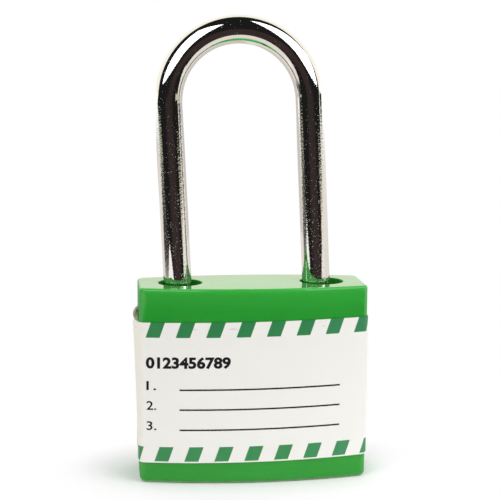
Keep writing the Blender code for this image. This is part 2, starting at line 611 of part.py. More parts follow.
def make_plug():
    """The turning core: face and flange at the base, keyway, drillings, clip groove, tail, square tang."""
    surface = finish("plug_brass", (0.66, 0.50, 0.22), 0.28, 1.0)
    groove = PLUG_RADIUS - CLIP_GROOVE_DEPTH
    collar_top = CLIP_TOP + RUNNING_GAP + CLIP_GROOVE_DEPTH
    flange_top = SHELL_BOTTOM - RUNNING_GAP
    rings = [
        circle(FLANGE_RADIUS - PLUG_FACE_RECESS, PLUG_FACE_RECESS),
        circle(FLANGE_RADIUS, 2 * PLUG_FACE_RECESS),
        circle(FLANGE_RADIUS, flange_top),
        circle(PLUG_RADIUS, flange_top),
        circle(PLUG_RADIUS, PLUG_TOP),
        circle(groove, PLUG_TOP),
        circle(groove, CLIP_TOP + RUNNING_GAP),
        circle(PLUG_RADIUS, CLIP_TOP + RUNNING_GAP),
        circle(PLUG_RADIUS, collar_top),
        circle(TAIL_DIAMETER / 2, collar_top),
        circle(TAIL_DIAMETER / 2, CAM_BOTTOM - RUNNING_GAP),
        square(TANG_WIDTH, CAM_BOTTOM - RUNNING_GAP),
        square(TANG_WIDTH, CAM_TOP),
    ]
    plug = stack("cylinder_plug", rings, surface)
    heights = pin_heights()
    keyway_end = heights[-1] + PIN_RADIUS
    half = KEYWAY_WIDTH / 2
    low_key = (-half, -KEYWAY_REACH, -CUT_MARGIN)
    combine(plug, box("cut_keyway", low_key, (half, KEYWAY_REACH / 2, keyway_end)))
    ward_low = (half - RUNNING_GAP, -KEYWAY_REACH / 2, -CUT_MARGIN)
    combine(plug, box("cut_keyway_ward", ward_low, (KEYWAY_WIDTH, -KEYWAY_REACH / 5, keyway_end)))
    for index, height in enumerate(heights):
        drill = turned(
            f"cut_key_pin_{index + 1}",
            [(PIN_BORE_RADIUS, 0.0), (PIN_BORE_RADIUS, PLUG_RADIUS + CUT_MARGIN)],
            sides=SMALL_SIDES,
        )
        combine(plug, place(drill, (0, 0, height), (-math.pi / 2, 0, 0)))
    thread = SCREW_DIAMETER / 2 + RUNNING_GAP
    screw_end = SCREW_HEAD_BOTTOM - SCREW_LENGTH - SEAT_GAP
    screw_profile = [(thread, screw_end), (thread, CAM_TOP + CUT_MARGIN)]
    combine(plug, turned("cut_screw_hole", screw_profile, sides=SMALL_SIDES))


def make_plug_clip():
    """A sprung ring in the plug's groove that keeps it from sliding out; its mouth opens to the left."""
    surface = finish("clip_steel", (0.45, 0.45, 0.47), 0.35, 1.0)
    ring = [
        (CLIP_INNER, CLIP_BOTTOM),
        (CLIP_OUTER, CLIP_BOTTOM),
        (CLIP_OUTER, CLIP_TOP),
        (CLIP_INNER, CLIP_TOP),
    ]
    clip = turned("plug_clip", ring, surface, joined=True)
    low = (-CLIP_OUTER - CUT_MARGIN, -CLIP_MOUTH / 2, CLIP_BOTTOM - CUT_MARGIN)
    combine(clip, box("cut_clip_mouth", low, (0, CLIP_MOUTH / 2, CLIP_TOP + CUT_MARGIN)))


def cam_radius(angle):
    """Two steady rises of a quarter turn each, and a quick fall behind each lobe."""
    turn = np.mod(angle, np.pi)
    rise = CAM_LOW_RADIUS + BOLT_THROW * turn / (np.pi / 2)
    fall = CAM_HIGH_RADIUS - BOLT_THROW * (turn - np.pi / 2) / CAM_FALL
    return np.clip(np.where(turn <= np.pi / 2, rise, fall), CAM_LOW_RADIUS, CAM_HIGH_RADIUS)


def make_cam():
    """The two-lobed cam on the tang: a quarter turn pushes both bolts out by their throw."""
    surface = finish("cam_steel", (0.50, 0.50, 0.52), 0.30, 1.0)
    sides = 2 * ROUND_SIDES
    angles = np.linspace(0, 2 * np.pi, sides, endpoint=False)
    radii = cam_radius(angles)
    hole = TANG_WIDTH + 2 * RUNNING_GAP
    outline = np.stack([radii * np.cos(angles), radii * np.sin(angles), np.zeros(sides)], axis=1)
    rings = [outline + (0, 0, CAM_BOTTOM), outline + (0, 0, CAM_TOP)]
    for height in (CAM_TOP, CAM_BOTTOM):
        rings.append(square(hole, height, sides))
    stack("locking_cam", rings, surface, joined=True)


def make_cam_screw():
    """The screw that holds the cam down on the tang."""
    surface = finish("screw_steel", (0.55, 0.55, 0.55), 0.30, 1.0)
    thread = SCREW_DIAMETER / 2
    head = SCREW_HEAD_DIAMETER / 2
    profile = [
        (thread, SCREW_HEAD_BOTTOM - SCREW_LENGTH),
        (thread, SCREW_HEAD_BOTTOM),
        (head, SCREW_HEAD_BOTTOM),
        (head, SCREW_HEAD_BOTTOM + SCREW_HEAD_HEIGHT),
    ]
    turned("cam_screw", profile, surface, SMALL_SIDES)


make_jacket()
make_base()
make_label()
make_rivet()
make_lock_body()
make_cross_pins()
make_shackle()
make_shackle_spring()
make_bolts()
make_cylinder_shell()
make_chamber_cover()
make_pin_stacks()
make_plug()
make_plug_clip()
make_cam()
make_cam_screw()

print(f"shackle lift {SHACKLE_LIFT * 1000:.2f} mm along a lean of {math.degrees(SHACKLE_LEAN):.2f} degrees")
print(f"bolt throw {BOLT_THROW * 1000:.2f} mm in a quarter turn at height {BOLT_HEIGHT * 1000:.2f} mm")
print(f"shackle spring stands at {(HEEL_BORE_FLOOR + SEAT_GAP) * 1000:.2f} mm")
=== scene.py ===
# %% [markdown]
# # A safety padlock, dressed for the camera
#
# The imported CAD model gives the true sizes, the moving bodies and where every piece sits. This lesson keeps
# that frame and puts finer skins and real finishes on it: glossy moulded plastic, a printed vinyl wrap,
# bright chrome, and the metals inside. One unit is a metre, +Z is up and the labelled front looks along -Y.

import json

import bmesh
import bpy
import numpy as np
from mathutils import Matrix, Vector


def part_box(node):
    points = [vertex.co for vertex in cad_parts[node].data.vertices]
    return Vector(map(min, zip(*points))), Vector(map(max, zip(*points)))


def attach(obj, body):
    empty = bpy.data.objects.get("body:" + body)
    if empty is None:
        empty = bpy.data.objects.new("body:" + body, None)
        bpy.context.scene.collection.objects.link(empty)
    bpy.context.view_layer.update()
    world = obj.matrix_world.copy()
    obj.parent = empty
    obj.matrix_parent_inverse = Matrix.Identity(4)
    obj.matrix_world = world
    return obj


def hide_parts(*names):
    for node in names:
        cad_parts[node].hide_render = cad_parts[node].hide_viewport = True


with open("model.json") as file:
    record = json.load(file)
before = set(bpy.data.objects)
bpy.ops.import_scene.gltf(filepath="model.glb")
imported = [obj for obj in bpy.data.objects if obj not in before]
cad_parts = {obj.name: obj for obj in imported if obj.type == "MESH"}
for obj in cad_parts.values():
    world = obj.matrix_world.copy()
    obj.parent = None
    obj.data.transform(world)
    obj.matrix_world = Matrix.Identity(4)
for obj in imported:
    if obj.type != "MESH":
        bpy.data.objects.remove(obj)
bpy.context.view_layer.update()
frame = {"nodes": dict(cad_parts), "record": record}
scene = bpy.context.scene
scene.view_settings.view_transform = "Standard"

# %% [markdown]
# ## The camera
#
# The camera stood about level with the shackle's arch and a little to the lock's left, and looked slightly
# down. It can be placed by eye, but edges are a better judge: the place, the three angles and the lens
# below come from a least squares fit of the body's, the label's and the shackle's outlines. No lens shift
# is needed.

# %% Camera
CAMERA_PLACE = (-0.03109, -0.27626, 0.08919)
CAMERA_TURN = np.radians(6.358)
CAMERA_DIP = np.radians(8.225)
CAMERA_ROLL = np.radians(0.370)
LENS_IN_PIXELS = 1300.2
IMAGE_SIZE = 500
SENSOR = 36.0

camera_data = bpy.data.cameras.new("camera")
camera_data.sensor_width = SENSOR
camera_data.lens = SENSOR * LENS_IN_PIXELS / IMAGE_SIZE
camera_data.clip_start = 0.01
camera = bpy.data.objects.new("camera", camera_data)
scene.collection.objects.link(camera)
turn = Matrix.Rotation(-CAMERA_TURN, 4, "Z")
dip = Matrix.Rotation(np.pi / 2 - CAMERA_DIP, 4, "X")
roll = Matrix.Rotation(CAMERA_ROLL, 4, "Z")
camera.matrix_world = Matrix.Translation(CAMERA_PLACE) @ turn @ dip @ roll
scene.camera = camera
print("lens", round(camera_data.lens, 1), "mm")

# %% [markdown]
# ## Small helpers for node trees
#
# Finishes are built from shader nodes. Adding a node, setting its options and wiring its inputs is always
# the same three steps, so one function does them, and short ones cover arithmetic, ramps and mixing. A node
# goes into the tree of whatever it is put beside.


# %% Node helpers
def put(beside, kind, inputs=None, **options):
    """Adds a node to the tree something is in, sets its options, and gives inputs plain values or outputs."""
    tree = beside.id_data
    made = tree.nodes.new("ShaderNode" + kind)
    for option, value in options.items():
        setattr(made, option, value)
    for socket, value in (inputs or {}).items():
        if isinstance(value, bpy.types.NodeSocket):
            tree.links.new(value, made.inputs[socket])
        else:
            made.inputs[socket].default_value = value
    return made


def calc(operation, *values):
    """The result of a Math node; the first value is another node's output."""
    return put(values[0], "Math", dict(enumerate(values)), operation=operation).outputs[0]


def times(first, second):
    """The product of two values."""
    return calc("MULTIPLY", first, second)


def scaled(value, factor, start):
    """A straight line: the value times a factor, counted from a start."""
    return calc("MULTIPLY_ADD", value, factor, start)


def most(first, *others):
    """The largest of several values."""
    for other in others:
        first = calc("MAXIMUM", first, other)
    return first


def off(value, middle):
    """How far a value is from a middle, either way."""
    return calc("ABSOLUTE", calc("SUBTRACT", value, middle))


def ramp(value, start, end, low=0.0, high=1.0):
    """A smooth step: low before start, high after end, an S curve between."""
    inputs = {"Value": value, "From Min": start, "From Max": end, "To Min": low, "To Max": high}
    return put(value, "MapRange", inputs, interpolation_type="SMOOTHSTEP").outputs["Result"]


def tint(share, first, second, way="MIX"):
    """Two colours mixed by a share."""
    return put(share, "Mix", {0: share, 6: first, 7: second}, data_type="RGBA", blend_type=way).outputs[2]


def noise(place, scale, detail):
    """Cloudy noise about one half; more detail adds finer layers."""
    return put(place, "TexNoise", {"Vector": place, "Scale": scale, "Detail": detail}).outputs["Fac"]


def stored(beside, name):
    """A mask that the mesh keeps under a name."""
    return put(beside, "Attribute", attribute_name=name).outputs["Fac"]


def bare(owner):
    """The emptied node tree of a world or a material."""
    owner.use_nodes = True
    owner.node_tree.nodes.clear()
    return owner.node_tree


def colour(red, green, blue):
    """A plain linear colour with full cover."""
    return (red, green, blue, 1.0)


print("node helpers ready")

# %% [markdown]
# ## The studio
#
# Chrome has no look of its own: it shows the room. The bright streaks on the shackle's shoulders are two
# big softboxes above left and right, its white rims are a paper backdrop behind, and its dark heart is the
# unlit room in front with something brown in it. So the lamps here are two large area lights, and the world
# answers by kind of ray: white to the camera, a drawn room to mirror rays, and a soft light, strongest from
# behind, to everything else.
#
# A picture of a studio could be wrapped round the scene, but drawn shapes can be set to what the bar shows.
# A shape is where a ray leans far enough towards a direction. The backdrop is brightest at eye level,
# dimmer below, and dull along its rim.

# %% World colours
WHITE = colour(1.0, 1.0, 1.0)
SOFT_FRONT = colour(0.30, 0.30, 0.30)
ROOM_BLACK = colour(0.011, 0.011, 0.011)
ROOM_BROWN = colour(0.037, 0.026, 0.024)
ROOM_TWICE = colour(0.05, 0.048, 0.045)
BACKDROP_TOP = colour(1.0, 0.965, 0.86)
BACKDROP_LIT = colour(1.08, 1.07, 1.04)
BACKDROP_LOW = colour(0.82, 0.77, 0.72)
BACKDROP_LOW_LEFT = colour(0.52, 0.50, 0.47)
BACKDROP_RIM = colour(0.60, 0.58, 0.42)

world = bpy.data.worlds.new("studio")
scene.world = world
tree = bare(world)
towards = put(tree, "TexCoord").outputs["Generated"]


def facing(direction):
    """How far a ray leans towards a direction: their dot product."""
    return put(tree, "VectorMath", {0: towards, 1: direction}, operation="DOT_PRODUCT").outputs["Value"]


print("world colours ready")

# %% Dark room and backdrop
UP = (0.0, 0.0, 1.0)
RIGHT = (1.0, 0.0, 0.0)
TILTED_UP = (-0.044, 0.0, 1.0)
BROWN_TOWARDS = (0.05, -0.93, -0.36)
BROWN_SPREAD = (0.76, 0.93)
BROWN_TOP = (0.03, -0.05)
BACKDROP_TOWARDS = (0.105, 1.0, -0.5)
BACKDROP_EDGE = -0.078
EDGE_BLUR = 0.02
RIM_WIDTH = 0.10
LEFT_TO_RIGHT = (-0.6, 0.6)
LOW_TO_LIT = (-0.076, -0.048)
LIT_TO_TOP = (0.09, 0.13)
FRONT_TO_BACK = (-0.6, 0.4)

brown = times(ramp(facing(BROWN_TOWARDS), *BROWN_SPREAD), ramp(facing(UP), *BROWN_TOP))
dark_room = tint(brown, ROOM_BLACK, ROOM_BROWN)
backdrop = facing(BACKDROP_TOWARDS)
behind = ramp(backdrop, BACKDROP_EDGE - EDGE_BLUR, BACKDROP_EDGE + EDGE_BLUR)
level = facing(TILTED_UP)
low_paper = tint(ramp(facing(RIGHT), *LEFT_TO_RIGHT), BACKDROP_LOW_LEFT, BACKDROP_LOW)
lit_paper = tint(ramp(level, *LOW_TO_LIT), low_paper, BACKDROP_LIT)
lit_paper = tint(ramp(level, *LIT_TO_TOP), lit_paper, BACKDROP_TOP)
off_rim = ramp(backdrop, BACKDROP_EDGE, BACKDROP_EDGE + RIM_WIDTH)
paper_roll = tint(off_rim, BACKDROP_RIM, lit_paper)
soft_light = tint(ramp(backdrop, *FRONT_TO_BACK), SOFT_FRONT, WHITE)
print("room and backdrop nodes:", len(tree.nodes))

# %% [markdown]
# The legs stand upright, so their rims see a thin slice of the room far out on either side. Dark openings
# there break the white of the rims, and two small light panels put it back lower down. Each leg also
# mirrors the other, as a dark line. A ray that has met two mirrors therefore finds a dark room.

# %% Openings, panels and kinds of ray
PATCH_BLUR = 0.012
LEFT_OPENING = ((-0.985, -0.174, -0.3), 0.951, 0.020, 0.122, 0.012)
LOW_OPENING = ((-1.0, 0.0, 0.0), 0.945, -0.168, 0.020, 0.006)
RIGHT_OPENING = ((0.9925, 0.122, 0.0), 0.978, 0.030, 0.035, 0.010)
LEFT_PANEL = ((-0.990, -0.139, 0.0), 0.985, -0.127, 0.022, 0.006)
RIGHT_PANEL = ((0.9205, -0.3907, 0.0), 0.978, -0.082, 0.037, 0.012)
ONE_MIRROR = 1.5


def patch(direction, least, middle, reach, blur):
    """A patch of the room: towards a direction by at least a limit, and within its reach of a height."""
    beside = ramp(facing(direction), least - PATCH_BLUR, least + PATCH_BLUR)
    off_middle = off(facing(UP), middle)
    return times(ramp(off_middle, reach - blur, reach + blur, 1.0, 0.0), beside)


def ray_kinds(tree):
    """Masks of the rays that are seen directly, that met a mirror, and that met a second one."""
    path = put(tree, "LightPath").outputs
    twice = calc("GREATER_THAN", path["Glossy Depth"], ONE_MIRROR)
    return most(path["Is Camera Ray"], path["Is Transmission Ray"]), path["Is Glossy Ray"], twice


light_parts = most(behind, patch(*LEFT_PANEL), patch(*RIGHT_PANEL))
openings = most(patch(*LEFT_OPENING), patch(*LOW_OPENING), patch(*RIGHT_OPENING))
lit_parts = times(light_parts, scaled(openings, -1.0, 1.0))
seen, mirrored, twice = ray_kinds(tree)
room = tint(twice, tint(lit_parts, dark_room, paper_roll), ROOM_TWICE)
light = tint(mirrored, soft_light, room)
background = put(tree, "Background", {"Color": tint(seen, light, WHITE), "Strength": 1.0})
put(tree, "OutputWorld", {"Surface": background.outputs[0]})
print("world nodes:", len(tree.nodes))

# %% Softboxes
SOFTBOX_DISTANCE = 0.55
AIM = np.array([-0.003, 0.0, 0.090])


def heading(azimuth, elevation):
    """A direction from two angles in degrees: round from the front to the right, and up."""
    turn, rise = np.radians([azimuth, elevation])
    return np.array([np.cos(rise) * np.sin(turn), -np.cos(rise) * np.cos(turn), np.sin(rise)])


def softbox(name, level, place, back, spin, width, height):
    """A panel of even brightness: its level, its place, where its back looks, its turn and its size.

    Place and back are headings. The power is the level times pi times the area.
    """
    data = bpy.data.lights.new(name, "AREA")
    data.shape = "RECTANGLE"
    data.size = width
    data.size_y = height
    data.energy = level * np.pi * width * height
    away = heading(*back)
    across = np.cross(UP, away)
    across /= np.linalg.norm(across)
    axes = Matrix(np.stack([across, np.cross(away, across), away], axis=1).tolist()).to_4x4()
    stand = Matrix.Translation((AIM + heading(*place) * SOFTBOX_DISTANCE).tolist())
    lamp = bpy.data.objects.new(name, data)
    lamp.matrix_world = stand @ axes @ Matrix.Rotation(np.radians(spin), 4, "Z")
    lamp.visible_camera = False
    scene.collection.objects.link(lamp)
    return lamp


left_box = softbox(
    "softbox_left", level=2.25, place=(-32.5, 40.9), back=(-59.0, 7.7), spin=2.6, width=0.497, height=0.569
)
right_box = softbox(
    "softbox_right", level=2.3, place=(64.8, 24.8), back=(6.0, 51.4), spin=7.7, width=0.653, height=0.472
)
print("softbox power:", round(left_box.data.energy, 2), round(right_box.data.energy, 2), "W")

# %% [markdown]
# ## The floor
#
# A sheet of white paper, as in any product shot. It ends a hand's breadth in front of the lock, and the
# chrome shows that: below the arch it is white where it sees paper and dark where it sees the room beyond.
# A plane would do, but its grid also serves to introduce how every surface here is made: points on a grid,
# then faces.

# %% Mesh helpers
WELD = 2e-7
SHARP_ANGLE = np.radians(38)


def quads_of(rows, columns, loop_rows=False, loop_columns=False):
    """Corner numbers of the quads over a grid of points, closed on itself along either way."""
    index = np.arange(rows * columns).reshape(rows, columns)
    if loop_rows:
        index = np.concatenate([index, index[:1]])
    if loop_columns:
        index = np.concatenate([index, index[:, :1]], axis=1)
    corners = [index[:-1, :-1], index[:-1, 1:], index[1:, 1:], index[1:, :-1]]
    return np.stack(corners, axis=-1).reshape(-1, 4)


def weld(mesh):
    """Merges points that share a place, which closes seams and poles, and turns every face outwards."""
    shape = bmesh.new()
    shape.from_mesh(mesh)
    bmesh.ops.remove_doubles(shape, verts=shape.verts, dist=WELD)
    bmesh.ops.recalc_face_normals(shape, faces=shape.faces)
    shape.to_mesh(mesh)
    shape.free()


def add_object(name, mesh, smooth=True):
    """Welds a mesh and puts it in the scene, smooth except over its sharp edges."""
    weld(mesh)
    if smooth:
        mesh.shade_smooth()
        mesh.set_sharp_from_angle(angle=SHARP_ANGLE)
    made = bpy.data.objects.new(name, mesh)
    scene.collection.objects.link(made)
    print(name, "has", len(mesh.polygons), "faces")
    return made


def make_object(name, grids, loops=None):
    """Joins grids of points into one smooth object: each grid is skinned by itself, then all are welded."""
    loops = loops or [(False, False)] * len(grids)
    starts = np.cumsum([0] + [grid.shape[0] * grid.shape[1] for grid in grids])
    points = np.concatenate([grid.reshape(-1, 3) for grid in grids])
    faces = [quads_of(*grid.shape[:2], *way) + start for grid, way, start in zip(grids, loops, starts)]
    mesh = bpy.data.meshes.new(name)
    mesh.from_pydata(points.tolist(), [], np.concatenate(faces).tolist())
    return add_object(name, mesh)


def wear(made, finish):
    """Gives an object its finish."""
    made.data.materials.append(finish)
    print(made.name, "wears", finish.name, "with", len(finish.node_tree.nodes), "nodes")


print("mesh helpers ready")

# %% Floor
FLOOR_FRONT = -0.088
FLOOR_BACK = 0.50
FLOOR_SIDE = 0.50
FLOOR_DROP = 0.00005
FLOOR_POINTS = 13


def flat_sheet(side, front, back, height):
    """Points of a level rectangle: the first parameter runs across it, the second from front to back."""
    across = np.linspace(-side, side, FLOOR_POINTS)
    xs, ys = np.meshgrid(across, np.linspace(front, back, FLOOR_POINTS), indexing="ij")
    return np.stack([xs, ys, np.full(xs.shape, height)], axis=-1)


floor = make_object("floor", [flat_sheet(FLOOR_SIDE, FLOOR_FRONT, FLOOR_BACK, -FLOOR_DROP)])

# %% [markdown]
# Close to the lock the paper is ordinary diffuse white, so that it takes the shadow. Further out it is
# plain white to the camera, which hides its edges. Mirrors see it a little warm, shaded round the lock and
# unlit far to the left. Light Path tells the kinds of ray apart.

# %% Paper for the floor
PAPER_GREY = colour(0.93, 0.93, 0.93)
PAPER_PALE = colour(0.96, 0.96, 0.96)
PAPER_WARM = colour(0.80, 0.745, 0.69)
PAPER_SHADED = colour(0.58, 0.55, 0.50)
PAPER_UNLIT = colour(0.05, 0.045, 0.04)
SHADOW_OVAL = (1.0, 1.5, 0.0)
SHADOW_REACH = (0.0265, 0.045)
SHADE_REACH = (0.029, 0.052)
UNLIT_LEFT = (-0.16, -0.26)
UNLIT_BACK = (0.14, 0.07)

paper = bpy.data.materials.new("paper")
tree = bare(paper)
place = put(tree, "TexCoord").outputs["Object"]
fibre = noise(place, 900.0, 3.0)
sheet = put(tree, "BsdfDiffuse", {"Color": tint(fibre, PAPER_GREY, PAPER_PALE)})
oval = put(tree, "VectorMath", {0: place, 1: SHADOW_OVAL}, operation="MULTIPLY").outputs["Vector"]
away = put(tree, "VectorMath", {0: oval}, operation="LENGTH").outputs["Value"]
far = ramp(away, *SHADOW_REACH)
across = put(tree, "SeparateXYZ", {0: place}).outputs
unlit = times(ramp(across["X"], *UNLIT_LEFT), ramp(across["Y"], *UNLIT_BACK))
tone = tint(unlit, tint(ramp(away, *SHADE_REACH), PAPER_SHADED, PAPER_WARM), PAPER_UNLIT)
seen, mirrored, twice = ray_kinds(tree)
glow = tint(mirrored, WHITE, tint(twice, tone, ROOM_TWICE))
clean = put(tree, "Emission", {"Color": glow, "Strength": 1.0})
plain = most(times(seen, far), mirrored)
mixed = put(tree, "MixShader", {0: plain, 1: sheet.outputs[0], 2: clean.outputs[0]})
put(tree, "OutputMaterial", {"Surface": mixed.outputs[0]})
wear(floor, paper)

# %% [markdown]
# Two cards stand beside the lock, just out of the picture, and one between the legs. They throw no light to
# speak of, but the legs of the shackle mirror them: a thin streak on the left of each leg, a broad warm
# band on the right, and inner rims that are greyer than the outer ones. Only mirror rays see them.

# %% Reflector cards
CARD_WHITE = colour(0.95, 0.93, 0.88)
CARD_WARM = colour(0.86, 0.80, 0.72)
CARD_GREY = colour(0.62, 0.58, 0.54)


def reflector(name, tone, start, end, shape):
    """An upright card along a line in plan; its shape lists (share of the line, lower edge, upper edge)."""
    share, low, high = np.array(shape).T
    plan = np.array(start) + share[:, None] * np.subtract(end, start)
    edges = [np.column_stack([plan, high]), np.column_stack([plan, low])]
    made = make_object(name, [np.stack(edges, axis=1)])
    made.visible_camera = False
    made.visible_diffuse = False
    made.visible_shadow = False
    card = bpy.data.materials.new(name)
    lit = put(bare(card), "Emission", {"Color": tone, "Strength": 1.0})
    put(lit, "OutputMaterial", {"Surface": lit.outputs[0]})
    wear(made, card)


LEFT_CARD_SHAPE = [
    (-0.20, 0.0300, 0.0315),
    (0.00, 0.0300, 0.0375),
    (0.10, 0.0302, 0.0415),
    (0.22, 0.0305, 0.0437),
    (0.34, 0.0310, 0.0405),
    (0.52, 0.0325, 0.0335),
]
RIGHT_CARD_SHAPE = [(0.0, 0.0275, 0.0320), (1.0, 0.0275, 0.0590)]
MIDDLE_CARD_SHAPE = [(0.0, 0.050, 0.095), (1.0, 0.050, 0.095)]
reflector("card_left", CARD_WHITE, start=(-0.056, -0.016), end=(-0.020, -0.060), shape=LEFT_CARD_SHAPE)
reflector("card_right", CARD_WARM, start=(0.085, -0.074), end=(0.113, -0.0225), shape=RIGHT_CARD_SHAPE)
reflector("card_middle", CARD_GREY, start=(0.0, 0.004), end=(0.0, 0.035), shape=MIDDLE_CARD_SHAPE)

# %% [markdown]
# ## Effects that several finishes share
#
# Real surfaces are never even. Four small node groups carry that: a fine grain for moulded and cast skins,
# the rub along exposed edges, the cloudy marks that hands leave, and the fine lines of a cutting tool. Each
# puts out masks and heights only, and every material sets its own values.


# %% Group helper
def new_group(name, **inputs):
    """An empty shader group, and what it is given: a place, and numbers with their usual values."""
    group = bpy.data.node_groups.new(name, "ShaderNodeTree")
    group.interface.new_socket("Vector", in_out="INPUT", socket_type="NodeSocketVector")
    for label, value in inputs.items():
        label = label.replace("_", " ")
        group.interface.new_socket(label, in_out="INPUT", socket_type="NodeSocketFloat").default_value = value
    return group, group.nodes.new("NodeGroupInput").outputs


def close_group(group, **results):
    """Wires the finished values to outputs of the group."""
    for label in results:
        group.interface.new_socket(label, in_out="OUTPUT", socket_type="NodeSocketFloat")
    end = group.nodes.new("NodeGroupOutput")
    for label, value in results.items():
        group.links.new(value, end.inputs[label])
    print("group", group.name, "has", len(group.nodes), "nodes")


print("group helpers ready")

# %% Moulded grain
CLOUD_LIMITS = (0.3, 0.7)

grain_group, given = new_group("moulded_grain", Scale=1500.0, Cloud_Scale=90.0)
fine = noise(given["Vector"], given["Scale"], 2.0)
broad = noise(given["Vector"], given["Cloud Scale"], 3.0)
close_group(grain_group, Grain=fine, Cloud=ramp(broad, *CLOUD_LIMITS))

# %% Rubbed edges
RUB_LIMITS = (0.62, 0.95)

rub_group, given = new_group("rubbed_edges", Edge=0.0, Scale=700.0, Amount=0.5)
patchy = noise(given["Vector"], given["Scale"], 5.0)
worn = calc("ADD", patchy, times(given["Edge"], given["Amount"]))
close_group(rub_group, Rub=times(ramp(worn, *RUB_LIMITS), given["Edge"]))

# %% Handling marks
SMEAR_LIMITS = (0.45, 0.75)
HAIR_LIMITS = (0.70, 0.76)
HAIR_TURN = (0.3, 0.5, 0.2)
HAIR_STRETCH = (0.35, 0.35, 6.0)
HAIR_SCALE = 420.0

marks_group, given = new_group("handling_marks", Scale=120.0, Amount=0.5)
cloud = noise(given["Vector"], given["Scale"], 4.0)
slanted = {"Vector": given["Vector"], "Rotation": HAIR_TURN, "Scale": HAIR_STRETCH}
hairs = noise(put(marks_group, "Mapping", slanted).outputs[0], HAIR_SCALE, 2.0)
close_group(
    marks_group,
    Smear=times(ramp(cloud, *SMEAR_LIMITS), given["Amount"]),
    Scratch=times(ramp(hairs, *HAIR_LIMITS), given["Amount"]),
)

# %% Tool lines
PATINA_LIMITS = (0.35, 0.7)
PATINA_SCALE = 160.0

lines_group, given = new_group("tool_lines", Scale=2500.0)
drawn = noise(given["Vector"], given["Scale"], 3.0)
aged = noise(given["Vector"], PATINA_SCALE, 4.0)
close_group(lines_group, Line=drawn, Patina=ramp(aged, *PATINA_LIMITS))

# %% [markdown]
# A finish is a material with one Principled shader. The numbers that hold all over the surface are written
# on the shader's own sockets; only what varies is wired in.


# %% Finish helper
def new_finish(name, **plain):
    """A material with its shader's plain values set, as (material, shader, object coordinates)."""
    made = bpy.data.materials.new(name)
    made.use_nodes = True
    shader = made.node_tree.nodes["Principled BSDF"]
    for socket, value in plain.items():
        shader.inputs[socket.replace("_", " ")].default_value = value
    return made, shader, put(shader, "TexCoord").outputs["Object"]


def feed(shader, **sockets):
    """Wires varying values into the shader."""
    for socket, value in sockets.items():
        shader.id_data.links.new(value, shader.inputs[socket.replace("_", " ")])


def effect(group, place, **settings):
    """A shared effect at a place, as its group's outputs."""
    inputs = {socket.replace("_", " "): value for socket, value in settings.items()}
    return put(place, "Group", {"Vector": place, **inputs}, node_tree=group).outputs


def bump(height, depth):
    """A normal from a height map; depth is the height of the relief in metres."""
    return put(height, "Bump", {"Height": height, "Distance": depth, "Strength": 1.0}).outputs["Normal"]


print("finish helper ready")

# %% [markdown]
# ## The jacket
#
# A thick sleeve of glossy green plastic slipped over the lock: two bowed faces, flat ends, and a closed top
# with two loose holes for the shackle. The CAD sleeve has the right sizes but flat facets, which gloss
# would betray. A box could be subdivided, but then the corner radii would drift. Here the outline is worked
# out from its arcs, so each skin of the sleeve is that outline at an inset and a height.

# %% Jacket outline
FACE_BULGE = 0.0029
CORNER_RADIUS = 0.0015
LEAST_CORNER = 0.0004
jacket_low, jacket_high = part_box("jacket")
BODY_WIDTH = jacket_high[0] - jacket_low[0]
BODY_HEIGHT = jacket_high[2]
END_DEPTH = jacket_high[1] - jacket_low[1] - 2 * FACE_BULGE
FACE_RADIUS = ((BODY_WIDTH / 2) ** 2 + FACE_BULGE**2) / (2 * FACE_BULGE)
FACE_CENTRE = FACE_RADIUS - FACE_BULGE - END_DEPTH / 2
FACE_STEPS = 40
CORNER_STEPS = 10
END_STEPS = 8


def quarter(inset, end_y):
    """The outline from the middle of the front to the right end wall, as far as end_y.

    The face is an arc about a point far behind it, the end a straight line, and a small arc rounds the corner
    between them. An inset moves all three inwards by the same amount.
    """
    corner = max(CORNER_RADIUS - inset, LEAST_CORNER)
    radius = FACE_RADIUS - inset
    end_x = BODY_WIDTH / 2 - inset
    corner_x = end_x - corner
    corner_y = FACE_CENTRE - np.sqrt((radius - corner) ** 2 - corner_x**2)
    meet = np.arctan2(corner_y - FACE_CENTRE, corner_x)
    face = np.linspace(-np.pi / 2, meet, FACE_STEPS + 1)
    bend = np.linspace(meet, 0, CORNER_STEPS + 1)[1:]
    end = np.linspace(corner_y, end_y, END_STEPS + 1)[1:]
    xs = np.concatenate([radius * np.cos(face), corner_x + corner * np.cos(bend), np.full(END_STEPS, end_x)])
    ys = np.concatenate([FACE_CENTRE + radius * np.sin(face), corner_y + corner * np.sin(bend), end])
    return np.stack([xs, ys], axis=1)


def half_outline(inset):
    """The right half of the outline, from the middle of the front to the middle of the back."""
    front = quarter(inset, 0.0)
    return np.concatenate([front, front[-2::-1] * (1, -1)])


def at_height(points, height):
    """Plan points lifted to a height."""
    return np.concatenate([points, np.full((len(points), 1), height)], axis=1)


print("half outline points:", len(half_outline(0.0)))

# %% Jacket shape
JACKET_WALL = 0.0016
JACKET_TOP = 0.0018
TOP_ROUND = 0.0006
BOTTOM_ROUND = 0.0011
HOLE_X = 0.0154
HOLE_RADIUS = 0.00465
HOLE_ROUND = 0.00025
CENTRE_STEPS = 16
PLATE_SHARES = (0.0, 0.02, 0.2, 0.4, 0.6, 0.8, 0.98, 1.0)
CEILING = BODY_HEIGHT - JACKET_TOP
WALL_STEPS = 12
ROUND_TURN = np.linspace(0, np.pi / 2, 7)


def half_loop(inset):
    """The right half of the outline, closed along the middle line."""
    half = half_outline(inset)
    middle = np.linspace(half[-1, 1], half[0, 1], CENTRE_STEPS + 1)[1:-1]
    return np.concatenate([half, np.stack([np.zeros(CENTRE_STEPS - 1), middle], axis=1)])


